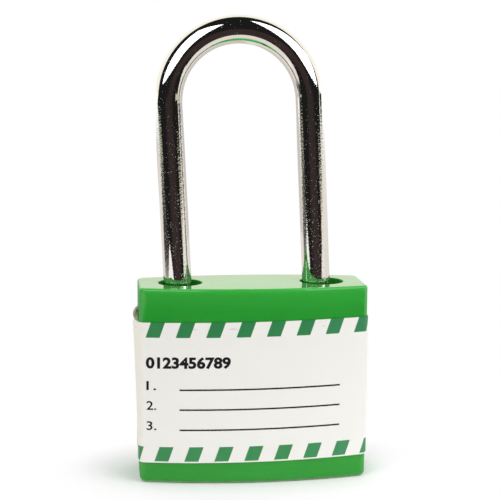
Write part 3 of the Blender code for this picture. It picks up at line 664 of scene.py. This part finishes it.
def hole_ring(radius, height):
    """A ring round the shackle hole; each point lies on the line to its partner on the outline."""
    out = half_loop(TOP_ROUND) - (HOLE_X, 0.0)
    out /= np.linalg.norm(out, axis=1, keepdims=True)
    return at_height(out * radius + (HOLE_X, 0.0), height)


def ruled(first, last, shares):
    """Straight rows between two rings: the share is 0 on the first ring and 1 on the last."""
    return first + (last - first) * np.array(shares)[:, None, None]


lip = zip(
    HOLE_RADIUS + HOLE_ROUND * (1 - np.cos(ROUND_TURN)),
    BODY_HEIGHT - HOLE_ROUND * (1 - np.sin(ROUND_TURN)),
)
mouth = np.stack([hole_ring(HOLE_RADIUS, CEILING)] + [hole_ring(radius, height) for radius, height in lip])
deck = ruled(mouth[-1], at_height(half_loop(TOP_ROUND), BODY_HEIGHT), PLATE_SHARES)
ceiling = ruled(mouth[0], at_height(half_loop(JACKET_WALL), CEILING), PLATE_SHARES)

skin = [(TOP_ROUND * (1 - np.sin(a)), BODY_HEIGHT - TOP_ROUND * (1 - np.cos(a))) for a in ROUND_TURN]
skin += [(0.0, height) for height in np.linspace(BODY_HEIGHT - 2 * TOP_ROUND, 2 * BOTTOM_ROUND, WALL_STEPS)]
skin += [(BOTTOM_ROUND * (1 - np.cos(a)), BOTTOM_ROUND * (1 - np.sin(a))) for a in ROUND_TURN]
skin += [(JACKET_WALL, 0.0), (JACKET_WALL, JACKET_WALL), (JACKET_WALL, CEILING)]
wall = np.stack([at_height(half_outline(inset), height) for inset, height in skin])

right_half = [mouth, deck, ceiling, wall]
left_half = [grid * (-1, 1, 1) for grid in right_half]
around = [(False, True), (False, True), (False, True), (False, False)]
jacket = make_object("green_jacket", right_half + left_half, around * 2)
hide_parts("jacket")
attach(jacket, "case")

# %% [markdown]
# Wear gathers where hands and pockets rub: along rims and corners. The shape knows where those are, so each
# point stores how near it is to an edge. A shader can read that as a mask, and it travels with the mesh. The
# upright corners and the ends of the foot are weighted up, which paints a sheen there as well as wear. Two
# more masks carry painted light: a glow painted below the top edge, and shade painted in the shackle holes.

# %% Edge mask of the jacket
EDGE_REACH = 0.0009
PAINTED_GLOW_REACH = 0.0014
END_REACH = 0.0004
CORNER_NARROWING = 0.7
CORNER_WEAR_AND_SHEEN = 1.3
FOOT_CORNER_WEAR_AND_SHEEN = 0.5
FOOT_CORNER_SLOPE = 2.2
MOUTH_WEAR = 0.7


def points_of(mesh):
    """All points of a mesh as one array."""
    flat = np.empty(len(mesh.vertices) * 3, dtype=np.float32)
    mesh.vertices.foreach_get("co", flat)
    return flat.reshape(-1, 3).astype(float)


def near(distance):
    """One on the edge, fading to nothing at about the edge's reach."""
    return np.exp(-((distance / EDGE_REACH) ** 2))


xs, ys, zs = points_of(jacket.data).T
from_top = BODY_HEIGHT - zs
from_end = BODY_WIDTH / 2 - np.abs(xs)
from_face = FACE_RADIUS - np.hypot(xs, np.abs(ys) + FACE_CENTRE)
from_hole = np.hypot(np.abs(xs) - HOLE_X, ys) - HOLE_RADIUS
depth = np.minimum(from_face, from_end)
rim = near(np.hypot(depth, from_top))
foot = near(np.hypot(depth, zs))
# Painted sheen as well as wear: the upright corners and the ends of the foot get extra weight, so they turn
# paler.
corner = near(np.hypot(from_face, from_end) * CORNER_NARROWING)
mouth_edge = near(np.hypot(from_hole, from_top))
to_corner = np.clip(1 - from_end / (BODY_WIDTH / 2) * FOOT_CORNER_SLOPE, 0, 1)
foot_wear_and_sheen = foot * (1 + to_corner * FOOT_CORNER_WEAR_AND_SHEEN)
worn = np.max([rim, foot_wear_and_sheen, corner * CORNER_WEAR_AND_SHEEN, mouth_edge * MOUTH_WEAR], axis=0)
# Painted glow: a lighter band below the top edge stands for light entering the plastic there.
glow = np.exp(-from_top / PAINTED_GLOW_REACH)
end_wall = np.clip(1 - from_end / END_REACH, 0, 1)
# The hole mask also places painted shade on the walls of the shackle holes.
hole_wall = np.clip(1 - np.abs(from_hole) / HOLE_ROUND, 0, 1)
dulled = np.maximum(end_wall, hole_wall)
for name, values in {"edge": worn, "glow": glow, "dulled": dulled, "hole": hole_wall}.items():
    mask = jacket.data.attributes.new(name, "FLOAT", "POINT")
    mask.data.foreach_set("value", values.astype(np.float32))
print("points on edges:", int((rim > 0.5).sum()))

# %% [markdown]
# The plastic is coloured through and left glossy by the mould, like a clear skin over the colour. It is not
# flat: there is a faint orange-peel, cloudy marks from handling, and hair scratches. The rims have gone a
# little paler, and at the upright corners and the foot's ends the paler tone is also a painted sheen. A glow
# painted into the colour below the top edge stands for light that enters it, shade is painted on the walls
# of the shackle holes, and the end walls are rubbed dull.

# %% Green plastic
GREEN = colour(0.0255, 0.325, 0.0345)
GREEN_DEEP = colour(0.0190, 0.268, 0.0275)
GREEN_RUBBED = colour(0.060, 0.40, 0.075)
GREEN_PAINTED_GLOW = colour(0.047, 0.455, 0.055)
GREEN_HOLE_SHADE = colour(0.011, 0.240, 0.010)
FLOW_STRETCH = (0.15, 0.15, 1.0)
PEEL_DEPTH = 0.0000035

green_plastic, shader, place = new_finish("green_plastic", IOR=1.3, Coat_IOR=1.4, Coat_Roughness=0.06)
grain = effect(grain_group, place, Scale=900.0, Cloud_Scale=60.0)
marks = effect(marks_group, place, Scale=110.0, Amount=0.6)
rub = effect(rub_group, place, Edge=stored(shader, "edge"), Scale=800.0, Amount=0.45)
flow = put(shader, "Mapping", {"Vector": place, "Scale": FLOW_STRETCH}).outputs[0]
mottle = scaled(noise(flow, 900.0, 3.0), 0.7, times(grain["Cloud"], 0.3))
body_green = tint(mottle, GREEN_DEEP, GREEN)
# Painted glow: lighter green below the top edge.
body_green = tint(stored(shader, "glow"), body_green, GREEN_PAINTED_GLOW)
# Rubbed edges go paler; at the upright corners and the foot's ends this paler tone is also a painted sheen.
body_green = tint(times(rub["Rub"], 0.4), body_green, GREEN_RUBBED)
# Painted shade: the walls of the shackle holes are darkened in the colour.
body_green = tint(stored(shader, "hole"), body_green, GREEN_HOLE_SHADE)
dull = scaled(marks["Smear"], 0.07, 0.08)
dull = scaled(rub["Rub"], 0.15, dull)
dull = scaled(marks["Scratch"], 0.10, dull)
dulled = stored(shader, "dulled")
dull = scaled(dulled, 0.40, dull)
clear_skin = scaled(dulled, -0.8, 0.8)
orange_peel = bump(scaled(marks["Scratch"], -0.5, grain["Grain"]), PEEL_DEPTH)
feed(shader, Base_Color=body_green, Roughness=dull, Coat_Weight=clear_skin, Normal=orange_peel)
wear(jacket, green_plastic)

# %% [markdown]
# ## The base plate
#
# A plate of the same plastic closes the sleeve from below and leaves a round opening for the key. Seen in
# section it is one closed loop, so its skin is that loop carried round: opening, underside, chamfer, side,
# top.

# %% Base plate
BASE_INSET = 0.0019
BASE_CHAMFER = 0.0003
BASE_THICKNESS = 0.0020
KEY_OPENING = 0.0051
KEY_CHAMFER = 0.0003


def full_outline(inset):
    """The whole plan outline, counter-clockwise from the middle of the front."""
    half = half_outline(inset)
    return np.concatenate([half, half[-2:0:-1] * (-1, 1)])


def opening_ring(radius, height):
    """A ring round the key opening, each point facing its partner on the outline."""
    out = full_outline(BASE_INSET)
    return at_height(out / np.linalg.norm(out, axis=1, keepdims=True) * radius, height)


underside = at_height(full_outline(BASE_INSET + BASE_CHAMFER), 0.0)
upper_rim = at_height(full_outline(BASE_INSET), BASE_THICKNESS)
plate = np.concatenate(
    [
        [opening_ring(KEY_OPENING, BASE_THICKNESS), opening_ring(KEY_OPENING, KEY_CHAMFER)],
        ruled(opening_ring(KEY_OPENING + KEY_CHAMFER, 0.0), underside, PLATE_SHARES),
        [at_height(full_outline(BASE_INSET), BASE_CHAMFER)],
        ruled(upper_rim, opening_ring(KEY_OPENING, BASE_THICKNESS), PLATE_SHARES[:-1]),
    ]
)
base_plate = make_object("base_plate", [plate], [(True, True)])
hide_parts("jacket_base")
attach(base_plate, "case")

# %% Satin plastic of the base
SATIN_DEPTH = 0.00002

satin_green, shader, place = new_finish("satin_green", IOR=1.5)
grain = effect(grain_group, place, Scale=2200.0, Cloud_Scale=80.0)
marks = effect(marks_group, place, Scale=150.0, Amount=0.9)
plate_green = tint(grain["Cloud"], GREEN_DEEP, GREEN)
plate_green = tint(times(marks["Scratch"], 0.5), plate_green, GREEN_RUBBED)
dull = scaled(marks["Smear"], 0.15, 0.36)
satin = bump(grain["Grain"], SATIN_DEPTH)
feed(shader, Base_Color=plate_green, Roughness=dull, Normal=satin)
wear(base_plate, satin_green)

# %% [markdown]
# ## The shackle
#
# A 6 mm steel bar, bent to a U and chromed. Inside the lock each leg has a flat notch for its bolt, and the
# heel leg a turned neck that a cross pin rides in, long enough for the lift. The cuts follow from where the
# frame has the bolt and the pin. A curve with a bevel would give the bar but not those cuts. So the bar is
# a circle carried along its path: every station has a place, a direction towards the inside of the loop, a
# radius, and a flag that planes the inner side flat.

# %% Shackle sizes
BAR_RADIUS = 0.0030
LEG_OFFSET = 0.01505
SHACKLE_RISE = 0.0540
SHACKLE_LEAN = np.radians(2.84)
SHACKLE_OFFSET = -0.00088
STOP_GAP = 0.0004
LIFT_CLEARANCE = 0.0008
NECK_RADIUS = 0.0015
NOTCH_DEPTH = 0.0025
TOE_TIP = 0.0016
HEEL_FOOT = 0.0025
TIP_CHAMFER = 0.0006



def middle_and_half(node):
    """The middle of a CAD node's box, and half the box's size."""
    low, high = np.array(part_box(node))
    return (low + high) / 2, (high - low) / 2


bolt_middle, bolt_half = middle_and_half("locking_bolt_left")
pin_middle, pin_half = middle_and_half("shackle_retaining_pin")
LEAN_COS = np.cos(SHACKLE_LEAN)
LEAN_SIN = np.sin(SHACKLE_LEAN)
LEAN_RISE = LEG_OFFSET * LEAN_SIN
ARCH_LEVEL = SHACKLE_RISE - LEG_OFFSET
PIN_RADIUS = pin_half[2]
PIN_LEVEL = (pin_middle[2] - BODY_HEIGHT) * LEAN_COS - (pin_middle[0] - SHACKLE_OFFSET) * LEAN_SIN
NOTCH_LEVEL = bolt_middle[2] - BODY_HEIGHT
NOTCH_HALF = bolt_half[2] + STOP_GAP + LEAN_RISE
NOTCH_LOW = NOTCH_LEVEL - NOTCH_HALF
NOTCH_HIGH = NOTCH_LEVEL + NOTCH_HALF
NOTCH_FLOOR = BAR_RADIUS - NOTCH_DEPTH
TOE_END = NOTCH_LOW - TOE_TIP
TOE_LOW = LEAN_RISE + TOE_END * LEAN_COS - BAR_RADIUS * LEAN_SIN
LIFT = (LIFT_CLEARANCE - TOE_LOW) / LEAN_COS
NECK_HIGH = PIN_LEVEL + PIN_RADIUS + STOP_GAP
NECK_LOW = NECK_HIGH - LIFT - 2 * (PIN_RADIUS + STOP_GAP)
HEEL_END = NECK_LOW - HEEL_FOOT
print("shackle lift:", round(LIFT * 1000, 2), "mm")

# %% Shackle stations
STEP = 1e-6
TOE_SHOULDER = 0.001
ARCH_STEPS = 128
AROUND = 72


def straight(low, high, count, radius=BAR_RADIUS, cut=0.0):
    """Stations of a plain stretch of leg: height, radius and whether its inner side is planed."""
    heights = np.linspace(low, high, count)
    return np.stack([heights, np.full(count, radius), np.full(count, cut)], axis=1)


def tip(end):
    """Stations of a leg's end: its middle, the small flat and the chamfer."""
    small = BAR_RADIUS - TIP_CHAMFER
    return np.array([[end, 0.0, 0.0], [end, small, 0.0], [end + TIP_CHAMFER, BAR_RADIUS, 0.0]])


above_notch = [straight(NOTCH_LOW, NOTCH_HIGH, 6, cut=1.0), straight(NOTCH_HIGH + STEP, ARCH_LEVEL, 40)]
neck = [straight(NECK_LOW, NECK_HIGH, 12, NECK_RADIUS), straight(NECK_HIGH, NOTCH_LOW - STEP, 5)]
heel_foot = [tip(HEEL_END), straight(HEEL_END + 2 * TIP_CHAMFER, NECK_LOW, 4)]
heel_leg = np.concatenate([*heel_foot, *neck, *above_notch])
toe_foot = [tip(TOE_END), straight(TOE_END + TOE_SHOULDER, NOTCH_LOW - STEP, 3)]
toe_leg = np.concatenate([*toe_foot, *above_notch])[::-1]
print("stations:", len(heel_leg), ARCH_STEPS - 1, len(toe_leg))

# %% Shackle shape
bend = np.linspace(0, np.pi, ARCH_STEPS + 1)[1:-1]
leg_side = np.concatenate([-np.ones(len(heel_leg)), -np.cos(bend), np.ones(len(toe_leg))])
arch = np.stack([ARCH_LEVEL + LEG_OFFSET * np.sin(bend), np.full(len(bend), BAR_RADIUS), 0 * bend], axis=1)
path_z, radius, cut = np.concatenate([heel_leg, arch, toe_leg]).T
path_x = LEG_OFFSET * leg_side
inward_x = -leg_side
inward_z = np.minimum(ARCH_LEVEL - path_z, 0.0) / LEG_OFFSET


def carried_circle():
    """Each station's circle: inwards by radius times cosine, across by radius times sine, planed at cuts."""
    angle = np.linspace(0, 2 * np.pi, AROUND, endpoint=False)
    inwards = radius[:, None] * np.cos(angle)
    inwards = np.where(cut[:, None] > 0, np.minimum(inwards, NOTCH_FLOOR), inwards)
    across = radius[:, None] * np.sin(angle)
    xs = path_x[:, None] + inwards * inward_x[:, None]
    zs = path_z[:, None] + inwards * inward_z[:, None]
    return np.stack([xs, across, zs], axis=-1)


def lean(points):
    """Turns the upright shackle to its lean in the loose holes and sets it on the body."""
    xs, ys, zs = np.moveaxis(points, -1, 0)
    across = xs * LEAN_COS - zs * LEAN_SIN + SHACKLE_OFFSET
    return np.stack([across, ys, xs * LEAN_SIN + zs * LEAN_COS + BODY_HEIGHT], axis=-1)


shackle = make_object("chrome_shackle", [lean(carried_circle())], [(False, True)])
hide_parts("shackle")
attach(shackle, "shackle")

# %% [markdown]
# The plating is mirror bright on the arch and pitted lower down, where the legs have stood in the weather.
# A smooth metal with a little relief does it: the pits are fine noise whose depth grows towards the body,
# so they fray the edges of the reflections instead of drawing dots. Just above the body the bar is smoother
# again.

# %% Chrome
CHROME = colour(0.93, 0.925, 0.915)
CHROME_SPOT = colour(0.62, 0.60, 0.57)
WEATHERED = (0.095, 0.038)
SHELTERED = (0.046, 0.066)
SHELTERED_RELIEF = 0.12
PIT_DEPTH = 0.00005

chrome, shader, place = new_finish("chrome", Metallic=1.0)
height = put(shader, "SeparateXYZ", {0: place}).outputs["Z"]
low_down = ramp(height, *WEATHERED)
waves = noise(place, 2500.0, 1.0)
pits = noise(place, 3300.0, 1.0)
pitted = ramp(scaled(low_down, 0.09, pits), 0.70, 0.78)
marks = effect(marks_group, place, Scale=260.0, Amount=0.7)
relief = times(waves, scaled(low_down, 0.95, 0.05))
relief = times(relief, ramp(height, *SHELTERED, SHELTERED_RELIEF, 1.0))
plating = tint(times(pitted, 0.5), CHROME, CHROME_SPOT)
gloss = scaled(marks["Smear"], 0.04, 0.02)
gloss = scaled(pitted, 0.42, gloss)
feed(shader, Base_Color=plating, Roughness=gloss, Normal=bump(relief, PIT_DEPTH))
wear(shackle, chrome)

# %% [markdown]
# ## The rivet
#
# A small domed rivet holds the jacket to the lock at the left end; its head stands just level with the
# label's upper edge. It is a turned piece, so its skin is one profile spun about the rivet's axis, which
# runs along X.

# %% Rivet
rivet_middle, rivet_half = middle_and_half("jacket_rivet")
RIVET_HEIGHT = rivet_middle[2]
RIVET_HEAD = rivet_half[2]
RIVET_RISE = 0.0010
RIVET_SHANK = 0.0010
RIVET_DEPTH = 0.0039
RIVET_GAP = 0.00015
RIVET_STEPS = 48
DOME_STEPS = 14


def spun(profile):
    """A profile of (radius, place along X) pairs spun about the rivet's axis."""
    angle = np.linspace(0, 2 * np.pi, RIVET_STEPS, endpoint=False)
    reach, along = np.array(profile).T[..., None]
    xs = np.repeat(along - BODY_WIDTH / 2, RIVET_STEPS, axis=1)
    return np.stack([xs, reach * np.sin(angle), RIVET_HEIGHT + reach * np.cos(angle)], axis=-1)


dome_radius = (RIVET_HEAD**2 + RIVET_RISE**2) / (2 * RIVET_RISE)
dome_turn = np.linspace(0, np.arcsin(RIVET_HEAD / dome_radius), DOME_STEPS)
dome_along = dome_radius * (1 - np.cos(dome_turn)) - RIVET_RISE - RIVET_GAP
dome = np.stack([dome_radius * np.sin(dome_turn), dome_along], axis=1)
stem = [(RIVET_SHANK, -RIVET_GAP), (RIVET_SHANK, RIVET_DEPTH), (0.0, RIVET_DEPTH)]
rivet = make_object("rivet", [spun(np.concatenate([dome, stem]))], [(False, True)])
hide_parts("jacket_rivet")
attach(rivet, "case")

# %% Dark steel of the rivet
RIVET_STEEL = colour(0.38, 0.46, 0.30)
RIVET_TARNISH = colour(0.14, 0.17, 0.09)
RIVET_LINES = 0.000008

rivet_steel, shader, place = new_finish("rivet_steel", Metallic=1.0)
lines = effect(lines_group, place, Scale=1800.0)
marks = effect(marks_group, place, Scale=500.0, Amount=0.8)
head = tint(times(lines["Patina"], 0.7), RIVET_STEEL, RIVET_TARNISH)
dull = scaled(marks["Smear"], 0.2, 0.34)
feed(shader, Base_Color=head, Roughness=dull, Normal=bump(lines["Line"], RIVET_LINES))
wear(rivet, rivet_steel)

# %% [markdown]
# ## The label
#
# A strip of white vinyl is wrapped round the sleeve, a touch askew, and its two ends stop short of each
# other on the left end wall, where the front end has begun to lift. The strip is the sleeve's outline once
# more, grown by its gap and thickness. Its two parameters are the way along the strip and the height on it,
# and they are kept as a UV map, so that the print can be drawn in the strip's own millimetres.

# %% Label sheet
LABEL_GAP = 0.00010
LABEL_THICKNESS = 0.00015
LABEL_SEAM = 0.0068
LABEL_BOTTOM = 0.0048
LABEL_TOP = 0.03515
STRIP_HEIGHT = LABEL_TOP - LABEL_BOTTOM
LABEL_TILT = np.tan(np.radians(0.66))
FLAP_TOP = 0.0010
FLAP_BOTTOM = 0.0001
FLAP_CURL = 1.6
LABEL_ROWS = 48


def strip_path(offset):
    """The strip's line in plan, from the lifted front end on the left wall right round to the back end."""
    plain = quarter(-offset, 0.0)
    ended = quarter(-offset, -LABEL_SEAM / 2)
    first = ended[::-1] * (-1, 1)
    return np.concatenate([first, plain[1:], plain[-2::-1] * (1, -1), ended[1:] * (-1, -1)])


outer_line = strip_path(LABEL_GAP + LABEL_THICKNESS)
inner_line = strip_path(LABEL_GAP)
steps_along = np.linalg.norm(np.diff(outer_line, axis=0), axis=1)
along = np.concatenate([[0.0], np.cumsum(steps_along)])
along -= along[FACE_STEPS + CORNER_STEPS + END_STEPS]
share = np.linspace(0, 1, LABEL_ROWS + 1)
flap = np.clip((along[END_STEPS] - along) / (along[END_STEPS] - along[0]), 0, 1)
lift = flap[:, None] * (FLAP_BOTTOM + (FLAP_TOP - FLAP_BOTTOM) * share[None] ** FLAP_CURL)


def sheet_side(line):
    """One side of the strip: the plan line at every height, tilted along X, its free end off the wall."""
    xs = line[:, :1] - lift
    ys = np.repeat(line[:, 1:], LABEL_ROWS + 1, axis=1)
    zs = LABEL_BOTTOM + STRIP_HEIGHT * share[None] + line[:, :1] * LABEL_TILT
    return np.stack([xs, ys, zs], axis=-1)


STRIP_START = along[0]
STRIP_LENGTH = along[-1] - along[0]
print("strip length", round(STRIP_LENGTH * 1000, 2), "mm")

# %% Label mesh
columns = len(along)
rows = 2 * (LABEL_ROWS + 1)

sheet_grid = np.concatenate([sheet_side(outer_line), sheet_side(inner_line)[:, ::-1]], axis=1)
sheet_faces = quads_of(columns, rows, False, True)
down = np.arange(LABEL_ROWS)
cap = np.stack([down, down + 1, rows - 2 - down, rows - 1 - down], axis=1)
sheet_faces = np.concatenate([sheet_faces, cap, cap[:, ::-1] + (columns - 1) * rows])
sheet_mesh = bpy.data.meshes.new("white_label")
sheet_mesh.from_pydata(sheet_grid.reshape(-1, 3).tolist(), [], sheet_faces.tolist())
corner_point = np.empty(len(sheet_mesh.loops), dtype=np.int32)
sheet_mesh.loops.foreach_get("vertex_index", corner_point)
across = np.repeat((along - STRIP_START) / STRIP_LENGTH, rows)
upward = np.tile(np.concatenate([share, share[::-1]]), columns)
strip_map = np.stack([across, upward], axis=1)[corner_point]
sheet_mesh.uv_layers.new(name="strip").data.foreach_set("uv", strip_map.ravel())
label = add_object("white_label", sheet_mesh)
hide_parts("label")
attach(label, "case")

# %% [markdown]
# The print is two rows of slanted green bars and three lines to write on. Bars and lines are plain rules in
# the strip's millimetres: a bar is where the way along, less a slant times the height, falls in the first
# part of each pitch. Their green runs a little bluer towards the right. The vinyl itself has yellowed at
# the lifted end, and there its colour is also painted lighter, which stands in for light on the left
# corner. A crease near the top has caught some dirt.

# %% Label print masks
BAR_PITCH = 6.39
BAR_WIDTH = 3.0
BAR_SLANT = 0.355
TOP_BARS = (31.95, 36.0, -23.33, -25.0)
BOTTOM_BARS = (5.10, 8.28, -21.55, -40.0)
LINE_HEIGHTS = (20.70, 16.38, 11.98)
LINE_ENDS = (-16.15, 18.40)
LINE_WEIGHT = 0.36
SOFT_EDGE = 0.03
WOBBLE = 0.07
MM = 1000.0

vinyl, shader, place = new_finish("printed_vinyl", IOR=1.46)
strip = put(shader, "SeparateXYZ", {0: put(shader, "UVMap", uv_map="strip").outputs["UV"]}).outputs
wobble = scaled(noise(place, 2600.0, 2.0), WOBBLE, -WOBBLE / 2)
u = scaled(strip["X"], STRIP_LENGTH * MM, STRIP_START * MM)
v = scaled(strip["Y"], STRIP_HEIGHT * MM, LABEL_BOTTOM * MM)
u_inked = calc("ADD", u, wobble)
v_inked = calc("ADD", v, wobble)


def between(value, low, high):
    """One between two limits, with a soft edge."""
    rise = ramp(value, low - SOFT_EDGE, low + SOFT_EDGE)
    return times(rise, ramp(value, high - SOFT_EDGE, high + SOFT_EDGE, 1.0, 0.0))


def bars(low, high, first, start):
    """A row of slanted bars: within its heights, past its start, and within the bar's part of each pitch."""
    upright = scaled(calc("SUBTRACT", v_inked, low), -BAR_SLANT, u_inked)
    turns = calc("DIVIDE", calc("SUBTRACT", upright, first + BAR_WIDTH / 2), BAR_PITCH)
    reach = times(calc("PINGPONG", turns, 0.5), BAR_PITCH)
    inside = ramp(reach, BAR_WIDTH / 2 - SOFT_EDGE, BAR_WIDTH / 2 + SOFT_EDGE, 1.0, 0.0)
    inside = times(inside, ramp(u_inked, start - SOFT_EDGE, start + SOFT_EDGE))
    return times(inside, between(v_inked, low, high))


bar_mask = most(bars(*TOP_BARS), bars(*BOTTOM_BARS))
half = LINE_WEIGHT / 2
line_mask = most(*[between(v_inked, height - half, height + half) for height in LINE_HEIGHTS])
line_mask = times(line_mask, between(u, *LINE_ENDS))
print("print nodes:", len(vinyl.node_tree.nodes))

# %% Vinyl and inks
VINYL = colour(0.845, 0.835, 0.800)
VINYL_YELLOWED_AND_LIT = colour(0.90, 0.86, 0.755)
BAR_GREEN = colour(0.024, 0.212, 0.064)
BAR_GREEN_THIN = colour(0.036, 0.258, 0.080)
BAR_COOLER = colour(0.009, 0.010, 0.026)
INK = colour(0.004, 0.004, 0.005)
DIRT = colour(0.48, 0.40, 0.31)
YELLOWED_AND_LIT_END = (-22.5, -26.0)
COOLER = (6.0, 22.0)
THINNER = (30.0, 9.0)
CREASE_HEIGHT = 33.75
CREASE_REACH = (0.05, 0.22)
DIRT_PLACE = 3.7
DIRT_PITCH = 0.32
RIPPLE_DEPTH = 0.000012

grain = effect(grain_group, place, Scale=1400.0, Cloud_Scale=130.0)
marks = effect(marks_group, place, Scale=200.0, Amount=0.5)
# Painted light: the lifted left end is yellowed and also painted lighter than the rest of the vinyl.
old_and_lit = scaled(grain["Cloud"], 0.10, times(ramp(u, *YELLOWED_AND_LIT_END), 0.75))
sheet_colour = tint(old_and_lit, VINYL, VINYL_YELLOWED_AND_LIT)
crease = ramp(off(v, CREASE_HEIGHT), *CREASE_REACH, 1.0, 0.0)
dirt_place = put(shader, "CombineXYZ", {0: times(u, DIRT_PITCH), 1: DIRT_PLACE})
patchy = noise(dirt_place.outputs[0], 1.0, 2.0)
dirt = times(crease, ramp(patchy, 0.50, 0.72))
sheet_colour = tint(times(dirt, 0.5), sheet_colour, DIRT)
thin_ink = scaled(grain["Cloud"], 0.3, ramp(v, *THINNER, 0.0, 0.7))
bar_green = tint(thin_ink, BAR_GREEN, BAR_GREEN_THIN)
bar_green = tint(ramp(u, *COOLER), bar_green, BAR_COOLER, "ADD")
printed = tint(bar_mask, sheet_colour, bar_green)
printed = tint(line_mask, printed, INK)
dull = scaled(marks["Smear"], 0.15, 0.40)
dull = scaled(bar_mask, -0.06, dull)
ripple = scaled(grain["Cloud"], 3.0, grain["Grain"])
ripple = scaled(crease, -1.2, ripple)
feed(shader, Base_Color=printed, Roughness=dull, Normal=bump(ripple, RIPPLE_DEPTH))
wear(label, vinyl)

# %% [markdown]
# Plain numerals mark the head of the label and its three lines. Type is a curve, so it is made a mesh while
# it is still flat; then whole arrays of its points are laid on the bowed face, like ink two hundredths of a
# millimetre thick. One numeral row counts through the ten digits, and each line has its number.

# %% Numerals
INK_RAISE = 0.000012
INK_DEPTH = 0.00001
HEAD_BOX = (-23.3, 25.25, 18.0, 2.60)
LINE_MARK_SIZE = (2.1, 1.95)
LINE_MARK_START = -23.2
LINE_MARK_DROP = 0.05
HEAD_WEIGHT = 0.040
LINE_MARK_WEIGHT = 0.012
TYPE_DEPTH = 0.01
TYPE_STEPS = 3
STRIP_RADIUS = FACE_RADIUS + LABEL_GAP + LABEL_THICKNESS


def flat_type(words, weight):
    """Points and faces of a word, set flat, heavy by its offset and given a little depth."""
    curve = bpy.data.curves.new("type", "FONT")
    curve.body = words
    curve.extrude = TYPE_DEPTH
    curve.offset = weight
    curve.resolution_u = TYPE_STEPS
    carrier = bpy.data.objects.new("type", curve)
    scene.collection.objects.link(carrier)
    bpy.context.view_layer.update()
    made = bpy.data.meshes.new_from_object(carrier.evaluated_get(bpy.context.evaluated_depsgraph_get()))
    bpy.data.objects.remove(carrier)
    faces = [list(face.vertices) for face in made.polygons]
    return points_of(made), faces


def lay_on_strip(points, left, base, width, height):
    """Fits flat type into a box in the strip's millimetres and wraps it on the front face.

    The way along becomes an angle on the face's arc, the height follows the strip's tilt, and the type's own
    depth points outwards.
    """
    low = points.min(axis=0)
    size = points.max(axis=0) - low
    shares = (points - low) / size
    angle = (left + shares[:, 0] * width) / MM / STRIP_RADIUS
    reach = STRIP_RADIUS + INK_RAISE + (shares[:, 2] - 0.5) * 2 * INK_DEPTH
    xs = reach * np.sin(angle)
    zs = (base + shares[:, 1] * height) / MM + xs * LABEL_TILT
    return np.stack([xs, FACE_CENTRE - reach * np.cos(angle), zs], axis=1)


words = [("0123456789", HEAD_WEIGHT, HEAD_BOX)]
for number, height in enumerate(LINE_HEIGHTS):
    line_mark_box = (LINE_MARK_START, height - LINE_MARK_DROP, *LINE_MARK_SIZE)
    words.append((f"{number + 1}.", LINE_MARK_WEIGHT, line_mark_box))
laid_points, laid_faces = [], []
for text, weight, place_box in words:
    points, faces = flat_type(text, weight)
    start = sum(len(part) for part in laid_points)
    laid_points.append(lay_on_strip(points, *place_box))
    laid_faces += [[corner + start for corner in face] for face in faces]
ink_mesh = bpy.data.meshes.new("label_numerals")
ink_mesh.from_pydata(np.concatenate(laid_points).tolist(), [], laid_faces)
numerals = add_object("label_numerals", ink_mesh, smooth=False)
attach(numerals, "case")

# %% Printing ink
INK_WORN = colour(0.011, 0.011, 0.011)

ink, shader, place = new_finish("printing_ink", IOR=1.3)
grain = effect(grain_group, place, Scale=3000.0, Cloud_Scale=400.0)
ink_colour = tint(grain["Cloud"], INK, INK_WORN)
dull = scaled(grain["Cloud"], 0.1, 0.42)
feed(shader, Base_Color=ink_colour, Roughness=dull)
wear(numerals, ink)

# %% [markdown]
# ## The works inside
#
# The block, the cylinder, its pins and springs, the cam and the bolts keep their CAD shapes: they are plain
# turned and milled pieces, and only the cylinder's face shows, from below. They still get honest metals.
# Brass and steel have fine tool lines, the cast block a grain, the springs the marks of drawing.


# %% Metals
def metal(name, bright, aged, stretch, gloss, depth):
    """A turned or drawn metal: tool lines stretched along one way, and patches of a duller tone."""
    made, shader, place = new_finish(name, Metallic=1.0)
    drawn = put(shader, "Mapping", {"Vector": place, "Scale": stretch}).outputs[0]
    lines = effect(lines_group, drawn, Scale=2500.0)
    marks = effect(marks_group, place, Scale=400.0, Amount=0.6)
    tone = tint(times(lines["Patina"], 0.6), bright, aged)
    dull = scaled(lines["Line"], 0.16, gloss)
    dull = scaled(marks["Smear"], 0.12, dull)
    feed(shader, Base_Color=tone, Roughness=dull, Normal=bump(lines["Line"], depth))
    print(name, "has", len(made.node_tree.nodes), "nodes")
    return made


brass = metal("turned_brass", colour(0.72, 0.53, 0.22), colour(0.50, 0.35, 0.14), (1, 1, 6), 0.18, 0.000006)
steel = metal("ground_steel", colour(0.62, 0.62, 0.63), colour(0.42, 0.42, 0.43), (6, 1, 1), 0.20, 0.000005)
wire = metal("spring_wire", colour(0.60, 0.58, 0.54), colour(0.36, 0.34, 0.31), (1, 1, 3), 0.22, 0.000003)
zinc = metal("cast_zinc", colour(0.55, 0.55, 0.56), colour(0.40, 0.40, 0.41), (1, 1, 1), 0.34, 0.000015)

# %% Dress the CAD nodes
FINISH_OF_SLOT = {"brass": brass, "steel": steel, "spring": wire, "lock_body": zinc}
slot_of = {row["node"]: row["material_slot"] for row in frame["record"]["subparts"]}
dressed = 0
for name, item in frame["nodes"].items():
    finish = FINISH_OF_SLOT.get(slot_of[name])
    for material_slot in item.material_slots if finish else ():
        material_slot.material = finish
        dressed += 1
print("CAD nodes dressed:", dressed)
